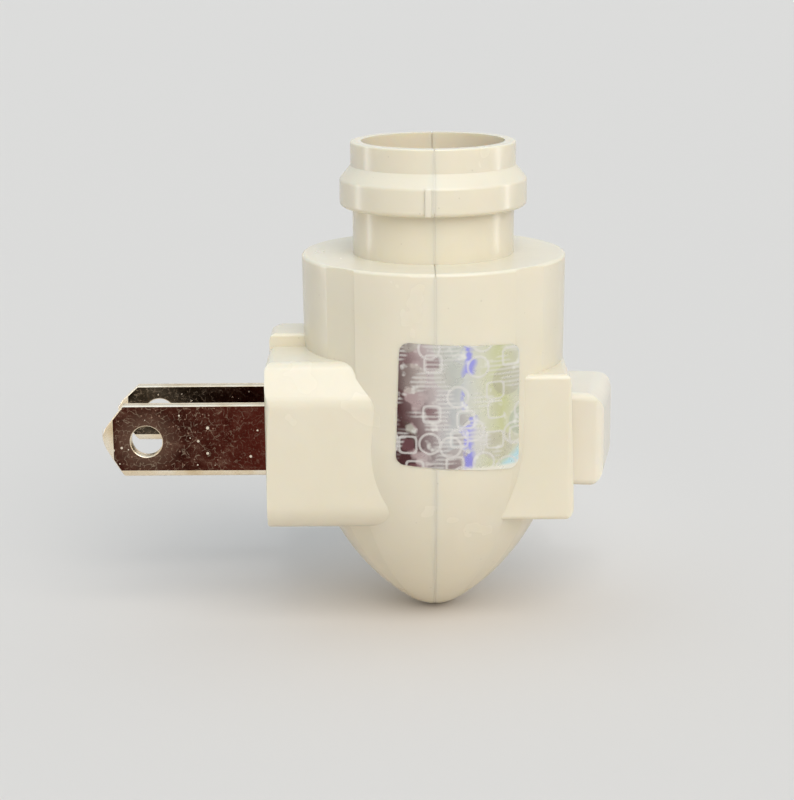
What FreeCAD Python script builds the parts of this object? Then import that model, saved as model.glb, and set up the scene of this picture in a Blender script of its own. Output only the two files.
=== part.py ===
import FreeCAD
import Part
import math
import os

os.makedirs("parts", exist_ok=True)

# Plug-in night light base with a candelabra lamp holder and a side rocker switch, in millimetres.
# Origin: the middle of the plug's wall face, between the blades. +X leaves the wall, towards the
# switch. +Y is the narrow blade's side. +Z is up, along the lamp holder.

# Mains plug blades
blade_length = 18.3
blade_thickness = 1.52
blade_spacing = 12.7
wide_blade_height = 8.04
narrow_blade_height = 6.44
blade_tip_length = 2.35
blade_tip_height = 2.0
blade_tip_thickness = 0.9
blade_bevel_length = 1.2
blade_fold_radius = 0.7
blade_edge_radius = 0.08
blade_corner_radius = 0.3
blade_tail_radius = 0.6
blade_hole_radius = 1.75
blade_hole_from_wall = 13.46
blade_shoulder_length = 2.0
blade_shoulder_step = 1.1
blade_tail_height = 5.0
blade_tail_length = 7.6
blade_slot_clearance = 0.1
blade_rivet_from_end = 2.55

# Moulded casing: round body, lower nose, collar for a shade, housings for the plug and the switch
wall = 1.8
wall_face_to_axis = 18.3
body_radius = 14.62
body_draft = 0.22
body_edge_radius = 0.35
seam_width = 0.13
seam_depth = 0.15
seam_steps = 28
seam_end_share = 0.004
shoulder_z = 19.81
nose_start_z = 1.4
nose_tip_z = -21.15
nose_tip_radius = 5.6
neck_radius = 8.92
neck_height = 5.22
collar_radius = 10.32
collar_height = 2.99
collar_edge_radius = 0.5
collar_chamfer_height = 1.49
rim_radius = 9.10
rim_height = 2.61
rim_bore_radius = 7.89
rim_bore_depth = 5.12
facet_inner_reach = 8.6
facet_outer_reach = 11.65
facet_step = 0.14
facet_levels = 9
facet_overrun = 0.6
facet_end_share = 0.12
plug_housing_side_inset = 1.72
plug_housing_top = 9.6
plug_housing_bottom = -9.2
plug_housing_bevel_width = 1.9
plug_housing_bevel_height = 4.0
plug_housing_draft = 0.85
plug_housing_face_radius = 0.8
plug_housing_wall = 2.0
plug_housing_soft_radius = 3.0
plug_housing_top_radius = 1.2
plug_housing_lower_radius = 3.5
housing_tab_width = 4.65
housing_tab_height = 1.45
housing_tab_radius = 0.4
switch_housing_reach = 14.6
switch_housing_draft = 0.6
switch_housing_half_width = 10.5
switch_housing_edge_radius = 0.9
switch_housing_low_radius = 1.3
switch_housing_top_radius = 0.65
switch_housing_side_radius = 0.55
switch_roof_wall = 1.8
switch_floor_wall = 1.5
switch_front_wall = 2.4
mould_radius = 0.5
fit_gap = 0.1
cut_over = 1.0

# Lamp holder: screw shell, insulator and centre contact
brass_sheet = 0.35
strap_thickness = 0.5
strap_end_reach = 1.9
sheet_bend_radius = 0.3
thread_bore_radius = 5.7
thread_depth = 0.35
thread_pitch = 2.54
thread_turns = 4
screw_shell_depth = 12.4
screw_shell_flange_radius = 7.2
flange_recess_depth = 0.4
flange_recess_clearance = 0.15
screw_shell_floor_hole = 3.4
socket_bore_clearance = 0.15
holder_tube_wall = 1.3
insulator_radius = 7.4
insulator_thickness = 1.4
insulator_clearance = 0.1
holder_lip_depth = 1.0
contact_sheet = 0.3
contact_width = 2.4
contact_rise = 2.7
contact_half_length = 2.2
contact_bow = 0.6
contact_bow_height = 1.0
contact_crest_offset = 0.65
contact_end_height = 2.15

# Rocker switch
rocker_z = -0.3
rocker_half_width = 6.0
rocker_half_height = 5.25
rocker_front = 6.95
rocker_back = 2.2
rocker_wall = 1.3
rocker_corner_radius = 2.0
rocker_edge_radius = 0.9
rocker_side_radius = 0.8
rocker_half_travel_deg = 9.9
rocker_side_clearance = 0.7
mouth_corner_radius = 0.3
rocker_end_clearance = 0.25
trunnion_radius = 1.1
trunnion_length = 1.1
trunnion_clearance = 0.05
trunnion_end_clearance = 0.15
pivot_depth = 1.9
plunger_radius = 1.1
plunger_clearance = 0.05
plunger_length = 4.0
plunger_gap = 0.12
stem_wall = 0.9
stem_gap = 1.9
spring_wire = 0.3
spring_turns = 7
spring_length = 4.2
spring_end_gap = 0.02
seesaw_length_contact_side = 5.9
seesaw_length_free_side = 4.6
seesaw_half_height = 1.9
seesaw_half_tilt_deg = 8.0
seesaw_lug_radius = 0.45
seesaw_lug_clearance = 0.05
pivot_ear_gap = 0.3
pivot_ear_length = 2.4
pivot_ear_half_width = 1.2
contact_offset = 4.6
moving_button_radius = 1.1
moving_button_height = 0.4
fixed_button_radius = 1.2
button_gap = 0.3
button_shank_radius = 0.45
button_shank_clearance = 0.05
button_tail_radius = 0.8
button_tail_height = 0.2
terminal_rise = 2.5
terminal_limb_height = 2.0
switch_base_thickness = 2.0
switch_base_ledge = 0.5
switch_base_gap = 0.9
strap_width = 3.0

# Fasteners and small details
rivet_shank_radius = 0.85
rivet_head_radius = 1.5
rivet_head_height = 0.5
small_rivet_radius = 0.45
small_rivet_head = 0.85
small_rivet_head_height = 0.3
rivet_clearance = 0.05
rivet_gap = 0.15
retainer_thickness = 1.6
retainer_clearance = 0.1
stake_radius = 1.2
stake_head_radius = 1.9
stake_head_height = 0.7
stake_clearance = 0.08
stake_height_offset = 4.2
weld_pin_radius = 0.9
weld_pin_length = 2.2
weld_pin_clearance = 0.08
weld_boss_radius = 1.7
weld_boss_length = 4.0
weld_boss_bite = 0.63
upper_weld_z = 9.2
lower_weld_z = -11.0
label_left = 4.05
label_lean = 0.5
label_to_housing = 1.2
label_bottom = -1.44
label_top = 12.12
label_corner_radius = 1.0
label_drop = 0.75
label_foot_drop = 1.23
label_thickness = 0.1
label_gap = 0.02

# Places that follow from the sizes above
axis_x = wall_face_to_axis
collar_bottom_z = shoulder_z + neck_height
collar_top_z = collar_bottom_z + collar_height
rim_bottom_z = collar_top_z + collar_chamfer_height
rim_top_z = rim_bottom_z + rim_height
ledge_z = rim_top_z - rim_bore_depth
rim_floor_z = ledge_z + flange_recess_depth
shell_floor_z = ledge_z - screw_shell_depth
thread_outer_radius = thread_bore_radius + thread_depth + brass_sheet
socket_bore_radius = thread_outer_radius + socket_bore_clearance
holder_tube_radius = insulator_radius + insulator_clearance + holder_tube_wall
insulator_bottom_z = shell_floor_z - insulator_thickness
holder_bottom_z = insulator_bottom_z - holder_lip_depth
body_low_radius = body_radius - body_draft
plug_housing_half_width = body_radius - plug_housing_side_inset
nose_depth = nose_start_z - nose_tip_z
nose_round_z = nose_tip_z + nose_tip_radius
nose_round_depth = nose_start_z - nose_round_z
nose_arc_radius = ((body_low_radius ** 2 + nose_round_depth ** 2 - nose_tip_radius ** 2)
                   / (2 * (body_low_radius - nose_tip_radius)))
nose_arc_centre_r = body_low_radius - nose_arc_radius
nose_arc_angle = math.atan2(nose_round_depth, -nose_arc_centre_r)
nose_round_start_z = nose_start_z - nose_arc_radius * math.sin(nose_arc_angle)
well_half_height = rocker_half_height + trunnion_length + trunnion_end_clearance
well_half_width = switch_housing_half_width - wall
switch_top_z = rocker_z + well_half_height + switch_roof_wall
switch_bottom_z = rocker_z - well_half_height - switch_floor_wall
switch_face_x = axis_x + switch_housing_reach
rocker_pivot_x = switch_face_x - pivot_depth
base_back_x = axis_x + strap_width / 2 + switch_base_gap
base_front_x = base_back_x + switch_base_thickness
terminal_front_x = base_front_x + strap_thickness
seesaw_x = base_front_x + pivot_ear_length
blade_side = blade_spacing / 2
blade_face = blade_side + blade_thickness / 2
tail_start_x = plug_housing_wall + blade_shoulder_length
tail_end_x = tail_start_x + blade_tail_length
tail_rivet_x = tail_end_x - blade_rivet_from_end
strap_start_x = tail_rivet_x - strap_end_reach
strap_outer_y = blade_face + strap_thickness
neutral_rivet_y = -(screw_shell_floor_hole + thread_bore_radius) / 2
terminal_top_z = rocker_z + seesaw_half_height + pivot_ear_gap + strap_thickness + terminal_rise
plunger_tip_x = seesaw_x + strap_thickness / 2 + plunger_gap
spring_start_x = plunger_tip_x + plunger_length
stem_bore_end = seesaw_x + stem_gap
middle_of_plug_z = (plug_housing_top + plug_housing_bottom) / 2
housing_root = math.sqrt(body_radius ** 2 - switch_housing_half_width ** 2)
label_right = housing_root - label_to_housing


def point(x, y, z):
    return FreeCAD.Vector(x, y, z)


def rounded_outline(corners, place):
    """A closed wire through corners (u, v, corner radius); place turns u, v into a point."""
    count = len(corners)
    starts, middles, ends = [], [], []
    for index in range(count):
        u, v, radius = corners[index]
        here = FreeCAD.Vector(u, v, 0)
        before = FreeCAD.Vector(*corners[index - 1][:2], 0) - here
        after = FreeCAD.Vector(*corners[(index + 1) % count][:2], 0) - here
        half_angle = before.getAngle(after) / 2
        reach = min(radius / math.tan(half_angle), 0.48 * before.Length, 0.48 * after.Length)
        if radius <= 0 or half_angle > 1.565:
            reach = 0.0
        before.normalize()
        after.normalize()
        bisector = before + after
        starts.append(here + before * reach)
        ends.append(here + after * reach)
        if reach > 0:
            bisector.normalize()
            arc_radius = reach * math.tan(half_angle)
            depth = arc_radius / math.sin(half_angle) - arc_radius
            middles.append(here + bisector * depth)
        else:
            middles.append(None)
    edges = []
    for index in range(count):
        start = place(starts[index].x, starts[index].y)
        end = place(ends[index].x, ends[index].y)
        if middles[index] is not None:
            middle = place(middles[index].x, middles[index].y)
            edges.append(Part.Arc(start, middle, end).toShape())
        following = starts[(index + 1) % count]
        following = place(following.x, following.y)
        if end.distanceToPoint(following) > 1e-6:
            edges.append(Part.LineSegment(end, following).toShape())
    return Part.Wire(edges)


def slab(axis, low, high, corners):
    """A solid of one outline between two levels of an axis; u, v are the other two, in X Y Z order."""
    places = {
        "x": lambda u, v: point(low, u, v),
        "y": lambda u, v: point(u, low, v),
        "z": lambda u, v: point(u, v, low),
    }
    directions = {"x": point(1, 0, 0), "y": point(0, 1, 0), "z": point(0, 0, 1)}
    face = Part.Face(rounded_outline(corners, places[axis]))
    return face.extrude(directions[axis] * (high - low))


def block(x_low, x_high, y_low, y_high, z_low, z_high):
    corner = point(x_low, y_low, z_low)
    return Part.makeBox(x_high - x_low, y_high - y_low, z_high - z_low, corner)


def rectangle(u_low, u_high, v_low, v_high, radius=0.0):
    return [
        (u_low, v_low, radius),
        (u_high, v_low, radius),
        (u_high, v_high, radius),
        (u_low, v_high, radius),
    ]


def turned(corners):
    """A solid of revolution about the body's axis; corners are (radius, z, corner radius)."""
    outline = rounded_outline(corners, lambda r, z: point(axis_x + r, 0, z))
    return Part.Face(outline).revolve(point(axis_x, 0, 0), point(0, 0, 1), 360)


def sheet(path, thickness, bend_radius):
    """Corners of a bent sheet's section; path is one face, and the sheet lies to its left."""
    points = [FreeCAD.Vector(u, v, 0) for u, v in path]
    normals = []
    for start, end in zip(points, points[1:]):
        along = (end - start).normalize()
        normals.append(FreeCAD.Vector(-along.y, along.x, 0))
    near, far = [], []
    for index, here in enumerate(points):
        first = normals[max(index - 1, 0)]
        second = normals[min(index, len(normals) - 1)]
        turn = first.x * second.y - first.y * second.x
        offset = (first + second) * (thickness / (1 + first.dot(second)))
        at_end = index in (0, len(points) - 1)
        left_radius = 0.0 if at_end else bend_radius + (0 if turn > 0 else thickness)
        right_radius = 0.0 if at_end else bend_radius + (thickness if turn > 0 else 0)
        near.append((here.x, here.y, right_radius))
        far.append((here.x + offset.x, here.y + offset.y, left_radius))
    return near + far[::-1]


def rivet(start, direction, grip, shank, head, head_height):
    """A solid rivet whose grip starts at a point and runs along a direction, with two round heads."""
    along = direction.normalize()
    body = Part.makeCylinder(shank, grip + 2 * head_height, start - along * head_height, along)
    first = Part.makeCylinder(head, head_height, start - along * head_height, along)
    second = Part.makeCylinder(head, head_height, start + along * grip, along)
    return body.fuse([first, second]).removeSplitter()


# Moulded casing


def nose_solid(inset):
    """The lower nose, a turned arc that leaves the body upright and runs into a round tip."""
    arc_radius = nose_arc_radius - inset
    round_radius = nose_tip_radius - inset
    side, tip = [], []
    for share in (0, 0.5, 1):
        angle = nose_arc_angle * share
        reach = nose_arc_centre_r + arc_radius * math.cos(angle)
        side.append(point(axis_x + reach, 0, nose_start_z - arc_radius * math.sin(angle)))
        angle = nose_arc_angle + (math.pi / 2 - nose_arc_angle) * share
        reach = round_radius * math.cos(angle)
        tip.append(point(axis_x + reach, 0, nose_round_z - round_radius * math.sin(angle)))
    tip[2] = point(axis_x, 0, nose_round_z - round_radius)
    middle = point(axis_x, 0, nose_start_z)
    edges = [
        Part.Arc(*side).toShape().toNurbs().Edges[0],
        Part.Arc(side[2], tip[1], tip[2]).toShape(),
        Part.LineSegment(tip[2], middle).toShape(),
        Part.LineSegment(middle, side[0]).toShape(),
    ]
    return Part.Face(Part.Wire(edges)).revolve(point(axis_x, 0, 0), point(0, 0, 1), 360)


def body_form(grow):
    """The turned outside of the body, collar and rim; grow moves the body's own wall outwards."""
    column = turned([
        (0, nose_start_z, 0),
        (body_low_radius + grow, nose_start_z, 0),
        (body_radius + grow, shoulder_z, body_edge_radius),
        (neck_radius, shoulder_z, 0),
        (neck_radius, collar_bottom_z, 0),
        (collar_radius, collar_bottom_z, collar_edge_radius),
        (collar_radius, collar_top_z, collar_edge_radius),
        (rim_radius, rim_bottom_z, 0),
        (rim_radius, rim_top_z, body_edge_radius / 2),
        (0, rim_top_z, 0),
    ])
    return column.fuse(nose_solid(-grow))


def wall_radius(z):
    """Outer radius of the body at a height."""
    if z >= nose_start_z:
        share = (z - nose_start_z) / (shoulder_z - nose_start_z)
        return body_low_radius + body_draft * share
    if z < nose_round_start_z:
        return math.sqrt(nose_tip_radius ** 2 - (nose_round_z - z) ** 2)
    return nose_arc_centre_r + math.sqrt(nose_arc_radius ** 2 - (nose_start_z - z) ** 2)


def facet_cutter(side_x, side_y):
    """Cuts one flat facet beside the round front or back panel; it narrows with the nose."""
    outer_y = math.sqrt(body_radius ** 2 - facet_outer_reach ** 2)
    inner_y = math.sqrt(body_radius ** 2 - facet_inner_reach ** 2) - facet_step
    over = facet_overrun
    slope = (outer_y - inner_y) / (facet_outer_reach - facet_inner_reach)
    far_x = facet_outer_reach + over
    far_y = outer_y + slope * over
    clear_y = body_radius + over
    corners = [
        (facet_inner_reach, inner_y),
        (far_x, far_y),
        (far_x + over, far_y + over),
        (far_x, clear_y),
        (facet_inner_reach, clear_y),
    ]
    lowest = nose_tip_z + facet_end_share * nose_depth
    levels = [shoulder_z + over, nose_start_z]
    for step in range(1, facet_levels - 1):
        levels.append(nose_start_z + (lowest - nose_start_z) * step / (facet_levels - 2))
    wires = []
    for z in levels:
        scale = wall_radius(z) / body_radius
        ring = [point(axis_x + side_x * x * scale, side_y * y * scale, z) for x, y in corners]
        wires.append(Part.makePolygon(ring + ring[:1]))
    column = Part.makeLoft(wires[:2], True, True)
    nose = Part.makeLoft(wires[1:], True, False)
    return [column, nose]


def housing_profile(inset):
    """The plug housing's section, seen along X: bevelled top corners and rounded lower ones."""
    half = plug_housing_half_width - inset
    top = plug_housing_top - inset
    bottom = plug_housing_bottom + inset
    top_half = half - plug_housing_bevel_width
    bottom_half = half - plug_housing_draft
    bevel_z = top - plug_housing_bevel_height
    least = mould_radius
    soft = max(plug_housing_soft_radius - inset, least)
    small = max(plug_housing_top_radius - inset, least)
    lower = max(plug_housing_lower_radius - inset, least)
    return [
        (-bottom_half, bottom, lower),
        (bottom_half, bottom, lower),
        (half, bevel_z, soft),
        (top_half, top, small),
        (-top_half, top, small),
        (-half, bevel_z, soft),
    ]


def plug_housing():
    reach = axis_x - wall
    form = slab("x", 0, reach, housing_profile(0))
    half = plug_housing_half_width
    r = plug_housing_face_radius
    side_view = [
        (0, plug_housing_bottom, r),
        (reach, plug_housing_bottom, 0),
        (reach, plug_housing_top, 0),
        (0, plug_housing_top, r),
    ]
    plan_view = [(0, -half, r), (reach, -half, 0), (reach, half, 0), (0, half, r)]
    form = form.common(slab("y", -half, half, side_view))
    form = form.common(slab("z", plug_housing_bottom, plug_housing_top, plan_view))
    tab_top = plug_housing_top + housing_tab_height
    tab_side = [
        (0, plug_housing_top - wall, 0),
        (axis_x - wall_radius(tab_top) + wall / 2, plug_housing_top - wall, 0),
        (axis_x - wall_radius(tab_top) + wall / 2, tab_top, 0),
        (0, tab_top, r),
    ]
    tab_half = housing_tab_width / 2
    tab = slab("y", -tab_half, tab_half, tab_side)
    tab_end = rectangle(-tab_half, tab_half, plug_housing_top - wall, tab_top, housing_tab_radius)
    tab = tab.common(slab("x", 0, axis_x, tab_end))
    return form.fuse(tab)


def switch_housing():
    """The box on the switch side; it runs on inside the body as the walls of the switch well."""
    face_top = switch_face_x
    face_bottom = switch_face_x + switch_housing_draft
    half = switch_housing_half_width
    r = switch_housing_edge_radius
    side_view = [
        (base_back_x, switch_bottom_z, 0),
        (face_bottom, switch_bottom_z, switch_housing_low_radius),
        (face_top, switch_top_z, switch_housing_top_radius),
        (base_back_x, switch_top_z, 0),
    ]
    plan_view = [
        (base_back_x, -half, 0),
        (face_bottom, -half, r),
        (face_bottom, half, r),
        (base_back_x, half, 0),
    ]
    end_view = rectangle(-half, half, switch_bottom_z, switch_top_z, switch_housing_side_radius)
    form = slab("y", -half, half, side_view)
    form = form.common(slab("z", switch_bottom_z, switch_top_z, plan_view))
    return form.common(slab("x", base_back_x, face_bottom, end_view))


def switch_well():
    """Room for the switch: the well, a step for its base, and the mouth that the rocker fills."""
    front = switch_face_x - switch_front_wall
    low = rocker_z - well_half_height
    high = rocker_z + well_half_height
    inner_half = well_half_width - switch_base_ledge
    well = block(base_front_x, front, -inner_half, inner_half, low, high)
    seat = block(base_back_x, base_front_x, -well_half_width, well_half_width, low, high)
    mouth_half = rocker_half_width + rocker_side_clearance
    mouth_height = rocker_half_height + rocker_end_clearance
    out = switch_face_x + switch_housing_draft + wall
    mouth = slab("x", front - wall / 2, out, rectangle(
        -mouth_half, mouth_half, rocker_z - mouth_height, rocker_z + mouth_height,
        mouth_corner_radius))
    saddle_radius = trunnion_radius + trunnion_clearance
    saddle = Part.makeCylinder(saddle_radius, high - low, point(rocker_pivot_x, 0, low))
    entry = block(front - wall / 2, rocker_pivot_x, -saddle_radius, saddle_radius, low, high)
    return well.fuse([seat, mouth, saddle, entry])


def casing_cavity():
    """All that is hollow in the two shells, with the holder tube and the switch well left standing."""
    top_inside = shoulder_z - wall
    column = turned([
        (0, nose_start_z, 0),
        (body_low_radius - wall, nose_start_z, 0),
        (wall_radius(top_inside) - wall, top_inside, mould_radius),
        (0, top_inside, 0),
    ])
    hollow = column.fuse(nose_solid(wall))
    plug_room = slab("x", plug_housing_wall, axis_x - wall, housing_profile(wall))
    hollow = hollow.fuse(plug_room)
    tube = Part.makeCylinder(holder_tube_radius, shoulder_z - holder_bottom_z,
                             point(axis_x, 0, holder_bottom_z))
    hollow = hollow.cut(tube)
    hollow = hollow.cut(switch_housing())
    bore_wall = holder_bottom_z - fit_gap
    recess_radius = screw_shell_flange_radius + flange_recess_clearance
    bore = turned([
        (0, bore_wall, 0),
        (insulator_radius - holder_lip_depth, bore_wall, 0),
        (insulator_radius - holder_lip_depth, insulator_bottom_z, 0),
        (insulator_radius + insulator_clearance, insulator_bottom_z, 0),
        (insulator_radius + insulator_clearance, shell_floor_z, 0),
        (socket_bore_radius, shell_floor_z, 0),
        (socket_bore_radius, ledge_z, 0),
        (recess_radius, ledge_z, 0),
        (recess_radius, rim_floor_z, 0),
        (rim_bore_radius, rim_floor_z, 0),
        (rim_bore_radius, rim_top_z + wall, 0),
        (0, rim_top_z + wall, 0),
    ])
    gap_half = strap_width / 2 + 3 * fit_gap
    strap_gap = block(axis_x - gap_half, axis_x + gap_half, -holder_tube_radius - wall / 2,
                      -insulator_radius + holder_tube_wall, bore_wall, shell_floor_z)
    hollow = hollow.fuse([bore, strap_gap])
    return hollow.fuse(switch_well())


def weld_places():
    """Centres of the four pairs of weld bosses that line the two shells up."""
    places = []
    for z in (upper_weld_z, lower_weld_z):
        inner = wall_radius(z) - wall
        for side in (-1, 1):
            places.append((side * (inner - weld_boss_radius + weld_boss_bite), z))
    return places


def casing():
    outside = body_form(0)
    for side_x in (-1, 1):
        for side_y in (-1, 1):
            for cutter in facet_cutter(side_x, side_y):
                outside = outside.cut(cutter)
    outside = outside.fuse([plug_housing(), switch_housing()])
    return outside.cut(casing_cavity())


casing_solid = casing()


def seam_groove(side):
    """A fine groove down one side of the casing, where the two shells meet; side is -1 or 1."""
    d = seam_depth
    inner = [
        (rim_bore_radius - wall, rim_top_z - d),
        (rim_radius - d, rim_top_z - d),
        (rim_radius - d, rim_bottom_z),
        (collar_radius - d, collar_top_z),
        (collar_radius - d, collar_bottom_z + d),
        (neck_radius - d, collar_bottom_z + d),
        (neck_radius - d, shoulder_z - d),
        (body_radius - d, shoulder_z - d),
    ]
    lowest = nose_tip_z + seam_end_share * nose_depth
    for step in range(seam_steps + 1):
        z = nose_start_z + (lowest - nose_start_z) * step / seam_steps
        inner.append((wall_radius(z) - d, z))
    far = body_radius + wall
    outer = [(far, lowest), (far, rim_top_z + wall), (rim_bore_radius - wall, rim_top_z + wall)]
    corners = [(side * y, z, 0) for y, z in inner + outer]
    outside = slab("x", axis_x - seam_width / 2, axis_x + seam_width / 2, corners)
    low, high = sorted((side * (rim_bore_radius - wall), side * (rim_bore_radius + d)))
    mouth = block(axis_x - seam_width / 2, axis_x + seam_width / 2, low, high, rim_floor_z, rim_top_z)
    return outside.fuse(mouth)


def casing_half(x_low, x_high):
    """One shell's share of the casing, split on the plane through the body's axis."""
    big = 4 * body_radius
    half = casing_solid.copy().common(block(x_low, x_high, -big, big, -big, big))
    return half.cut([seam_groove(-1), seam_groove(1)])


def weld_boss(y, z, x_low):
    """A round boss inside the wall, for a weld pin or its socket."""
    boss = Part.makeCylinder(weld_boss_radius, weld_boss_length, point(x_low, y, z), point(1, 0, 0))
    return boss.common(body_form(-wall / 2))


def rear_shell():
    """The half on the plug's side, with blade slots, heat-staked posts and boss sockets."""
    shell = casing_half(-axis_x, axis_x)
    holes = []
    for y, z in weld_places():
        shell = shell.fuse(weld_boss(y, z, axis_x - weld_boss_length))
        mouth = point(axis_x - weld_pin_length - weld_pin_clearance, y, z)
        holes.append(Part.makeCylinder(weld_pin_radius + weld_pin_clearance,
                                       weld_pin_length + cut_over, mouth, point(1, 0, 0)))
    stake_end = tail_start_x + retainer_thickness
    for side in (-1, 1):
        z = middle_of_plug_z + side * stake_height_offset
        root = point(wall / 2, 0, z)
        post = Part.makeCylinder(stake_radius, stake_end - wall / 2, root, point(1, 0, 0))
        head = Part.makeCylinder(stake_head_radius, stake_head_height,
                                 point(stake_end, 0, z), point(1, 0, 0))
        shell = shell.fuse([post, head])
    slot_half = blade_thickness / 2 + blade_slot_clearance
    for side, height in ((-1, wide_blade_height), (1, narrow_blade_height)):
        half = height / 2 + blade_slot_clearance
        y = side * blade_side
        holes.append(block(-cut_over, plug_housing_wall, y - slot_half, y + slot_half, -half, half))
    return shell.cut(holes).removeSplitter()


def front_shell():
    """The half on the switch's side, with the switch well and the weld pins."""
    shell = casing_half(axis_x, 3 * axis_x)
    for y, z in weld_places():
        pin = Part.makeCylinder(weld_pin_radius, weld_pin_length + wall,
                                point(axis_x - weld_pin_length, y, z), point(1, 0, 0))
        shell = shell.fuse(weld_boss(y, z, axis_x)).fuse(pin)
    return shell.removeSplitter()


def blade_retainer():
    """Fibre plate that slides over both blade tails and is staked to the rear shell."""
    start = tail_start_x
    end = start + retainer_thickness
    plate = slab("x", start, end, housing_profile(wall + retainer_clearance))
    slot_half = blade_thickness / 2 + blade_slot_clearance
    half = blade_tail_height / 2 + blade_slot_clearance
    holes = []
    for side in (-1, 1):
        y = side * blade_side
        holes.append(block(start - cut_over, end + cut_over, y - slot_half, y + slot_half,
                           -half, half))
        z = middle_of_plug_z + side * stake_height_offset
        holes.append(Part.makeCylinder(stake_radius + stake_clearance, end - start + 2 * cut_over,
                                       point(start - cut_over, 0, z), point(1, 0, 0)))
    return plate.cut(holes)


# Blades and the straps that carry the current


def blade(side, height):
    """One blade of folded brass: fold along the lower edge, coined tip, hole, shoulders and tail."""
    y = side * blade_side
    half = height / 2
    tip_half = min(blade_tip_height / 2, 0.4 * height)
    front = plug_housing_wall
    taper_x = -blade_length + blade_tip_length
    outline = [
        (-blade_length, -tip_half, blade_corner_radius),
        (taper_x, -half, blade_corner_radius),
        (front, -half, 0),
        (front, half, 0),
        (taper_x, half, blade_corner_radius),
        (-blade_length, tip_half, blade_corner_radius),
    ]
    half_thick = blade_thickness / 2
    half_tip = min(blade_tip_thickness / 2, half_thick)
    plan = [
        (-blade_length, y - half_tip, 0),
        (-blade_length + blade_bevel_length, y - half_thick, 0),
        (front, y - half_thick, 0),
        (front, y + half_thick, 0),
        (-blade_length + blade_bevel_length, y + half_thick, 0),
        (-blade_length, y + half_tip, 0),
    ]
    section = [
        (y - half_thick, -half, blade_fold_radius),
        (y + half_thick, -half, blade_fold_radius),
        (y + half_thick, half, blade_edge_radius),
        (y - half_thick, half, blade_edge_radius),
    ]
    metal = slab("y", y - half_thick, y + half_thick, outline)
    metal = metal.common(slab("z", -half, half, plan))
    metal = metal.common(slab("x", -blade_length, front, section))
    shoulder = half + blade_shoulder_step
    tail = blade_tail_height / 2
    inner = [
        (front, -shoulder, blade_corner_radius),
        (tail_start_x, -shoulder, blade_corner_radius),
        (tail_start_x, -tail, 0),
        (tail_end_x, -tail, blade_tail_radius),
        (tail_end_x, tail, blade_tail_radius),
        (tail_start_x, tail, 0),
        (tail_start_x, shoulder, blade_corner_radius),
        (front, shoulder, blade_corner_radius),
    ]
    metal = metal.fuse(slab("y", y - half_thick, y + half_thick, inner))
    along = point(0, 1, 0)
    reach = blade_thickness + 2 * cut_over
    hole = Part.makeCylinder(blade_hole_radius, reach,
                             point(-blade_hole_from_wall, y - half_thick - cut_over, 0), along)
    rivet_hole = Part.makeCylinder(rivet_shank_radius + rivet_clearance, reach,
                                   point(tail_rivet_x, y - half_thick - cut_over, 0), along)
    return metal.cut([hole, rivet_hole]).removeSplitter()


def strap_hole(side):
    """Cuts the blade rivet's hole through a strap."""
    start = point(tail_rivet_x, side * (blade_face + strap_thickness / 2) - cut_over, 0)
    return Part.makeCylinder(rivet_shank_radius + rivet_clearance, 2 * cut_over, start,
                             point(0, 1, 0))


def neutral_strap():
    """Brass strap from the wide blade's tail to the underside of the screw shell's floor."""
    half = strap_width / 2
    tab_top = shell_floor_z
    rise = slab("x", axis_x - half, axis_x + half, sheet(
        [(-strap_outer_y, -half), (-strap_outer_y, tab_top), (-screw_shell_floor_hole - fit_gap, tab_top)],
        -strap_thickness, sheet_bend_radius))
    low_limb = slab("y", -strap_outer_y, -blade_face, rectangle(
        strap_start_x, axis_x, -half, half, sheet_bend_radius))
    strap = rise.fuse(low_limb)
    shell_hole = Part.makeCylinder(small_rivet_radius + rivet_clearance, 2 * strap_thickness,
                                   point(axis_x, neutral_rivet_y, tab_top - 1.5 * strap_thickness))
    return strap.cut([strap_hole(-1), shell_hole]).removeSplitter()


def live_strap():
    """Brass strap from the narrow blade's tail, bent to carry the see-saw's two pivot ears."""
    half = strap_width / 2
    bend = sheet([
        (strap_start_x, strap_outer_y),
        (terminal_front_x, strap_outer_y),
        (terminal_front_x, -pivot_ear_half_width)], -strap_thickness, sheet_bend_radius)
    strap = slab("z", rocker_z - half, rocker_z + half, bend)
    ear_low = seesaw_half_height + pivot_ear_gap
    ear_high = ear_low + strap_thickness
    plate = block(base_front_x, terminal_front_x, -pivot_ear_half_width, pivot_ear_half_width,
                  rocker_z - ear_high, rocker_z + ear_high)
    strap = strap.fuse(plate)
    ear_end = seesaw_x + 2 * seesaw_lug_radius
    notch_radius = seesaw_lug_radius + seesaw_lug_clearance
    for side in (-1, 1):
        low, high = sorted((rocker_z + side * ear_low, rocker_z + side * ear_high))
        ear = slab("z", low, high, [
            (base_front_x, -pivot_ear_half_width, 0),
            (ear_end, -pivot_ear_half_width, sheet_bend_radius),
            (ear_end, pivot_ear_half_width, sheet_bend_radius),
            (base_front_x, pivot_ear_half_width, 0),
        ])
        notch = Part.makeCylinder(notch_radius, strap_thickness + 2 * cut_over,
                                  point(seesaw_x, 0, low - cut_over))
        mouth = block(seesaw_x, ear_end + cut_over, -notch_radius, notch_radius,
                      low - cut_over, high + cut_over)
        strap = strap.fuse(ear.cut([notch, mouth]))
    return strap.cut(strap_hole(1)).removeSplitter()


def blade_rivet(side):
    if side < 0:
        start = point(tail_rivet_x, -strap_outer_y, 0)
    else:
        start = point(tail_rivet_x, blade_side - blade_thickness / 2, 0)
    grip = blade_thickness + strap_thickness
    return rivet(start, point(0, 1, 0), grip,
                 rivet_shank_radius, rivet_head_radius, rivet_head_height)


# Lamp holder


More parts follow.
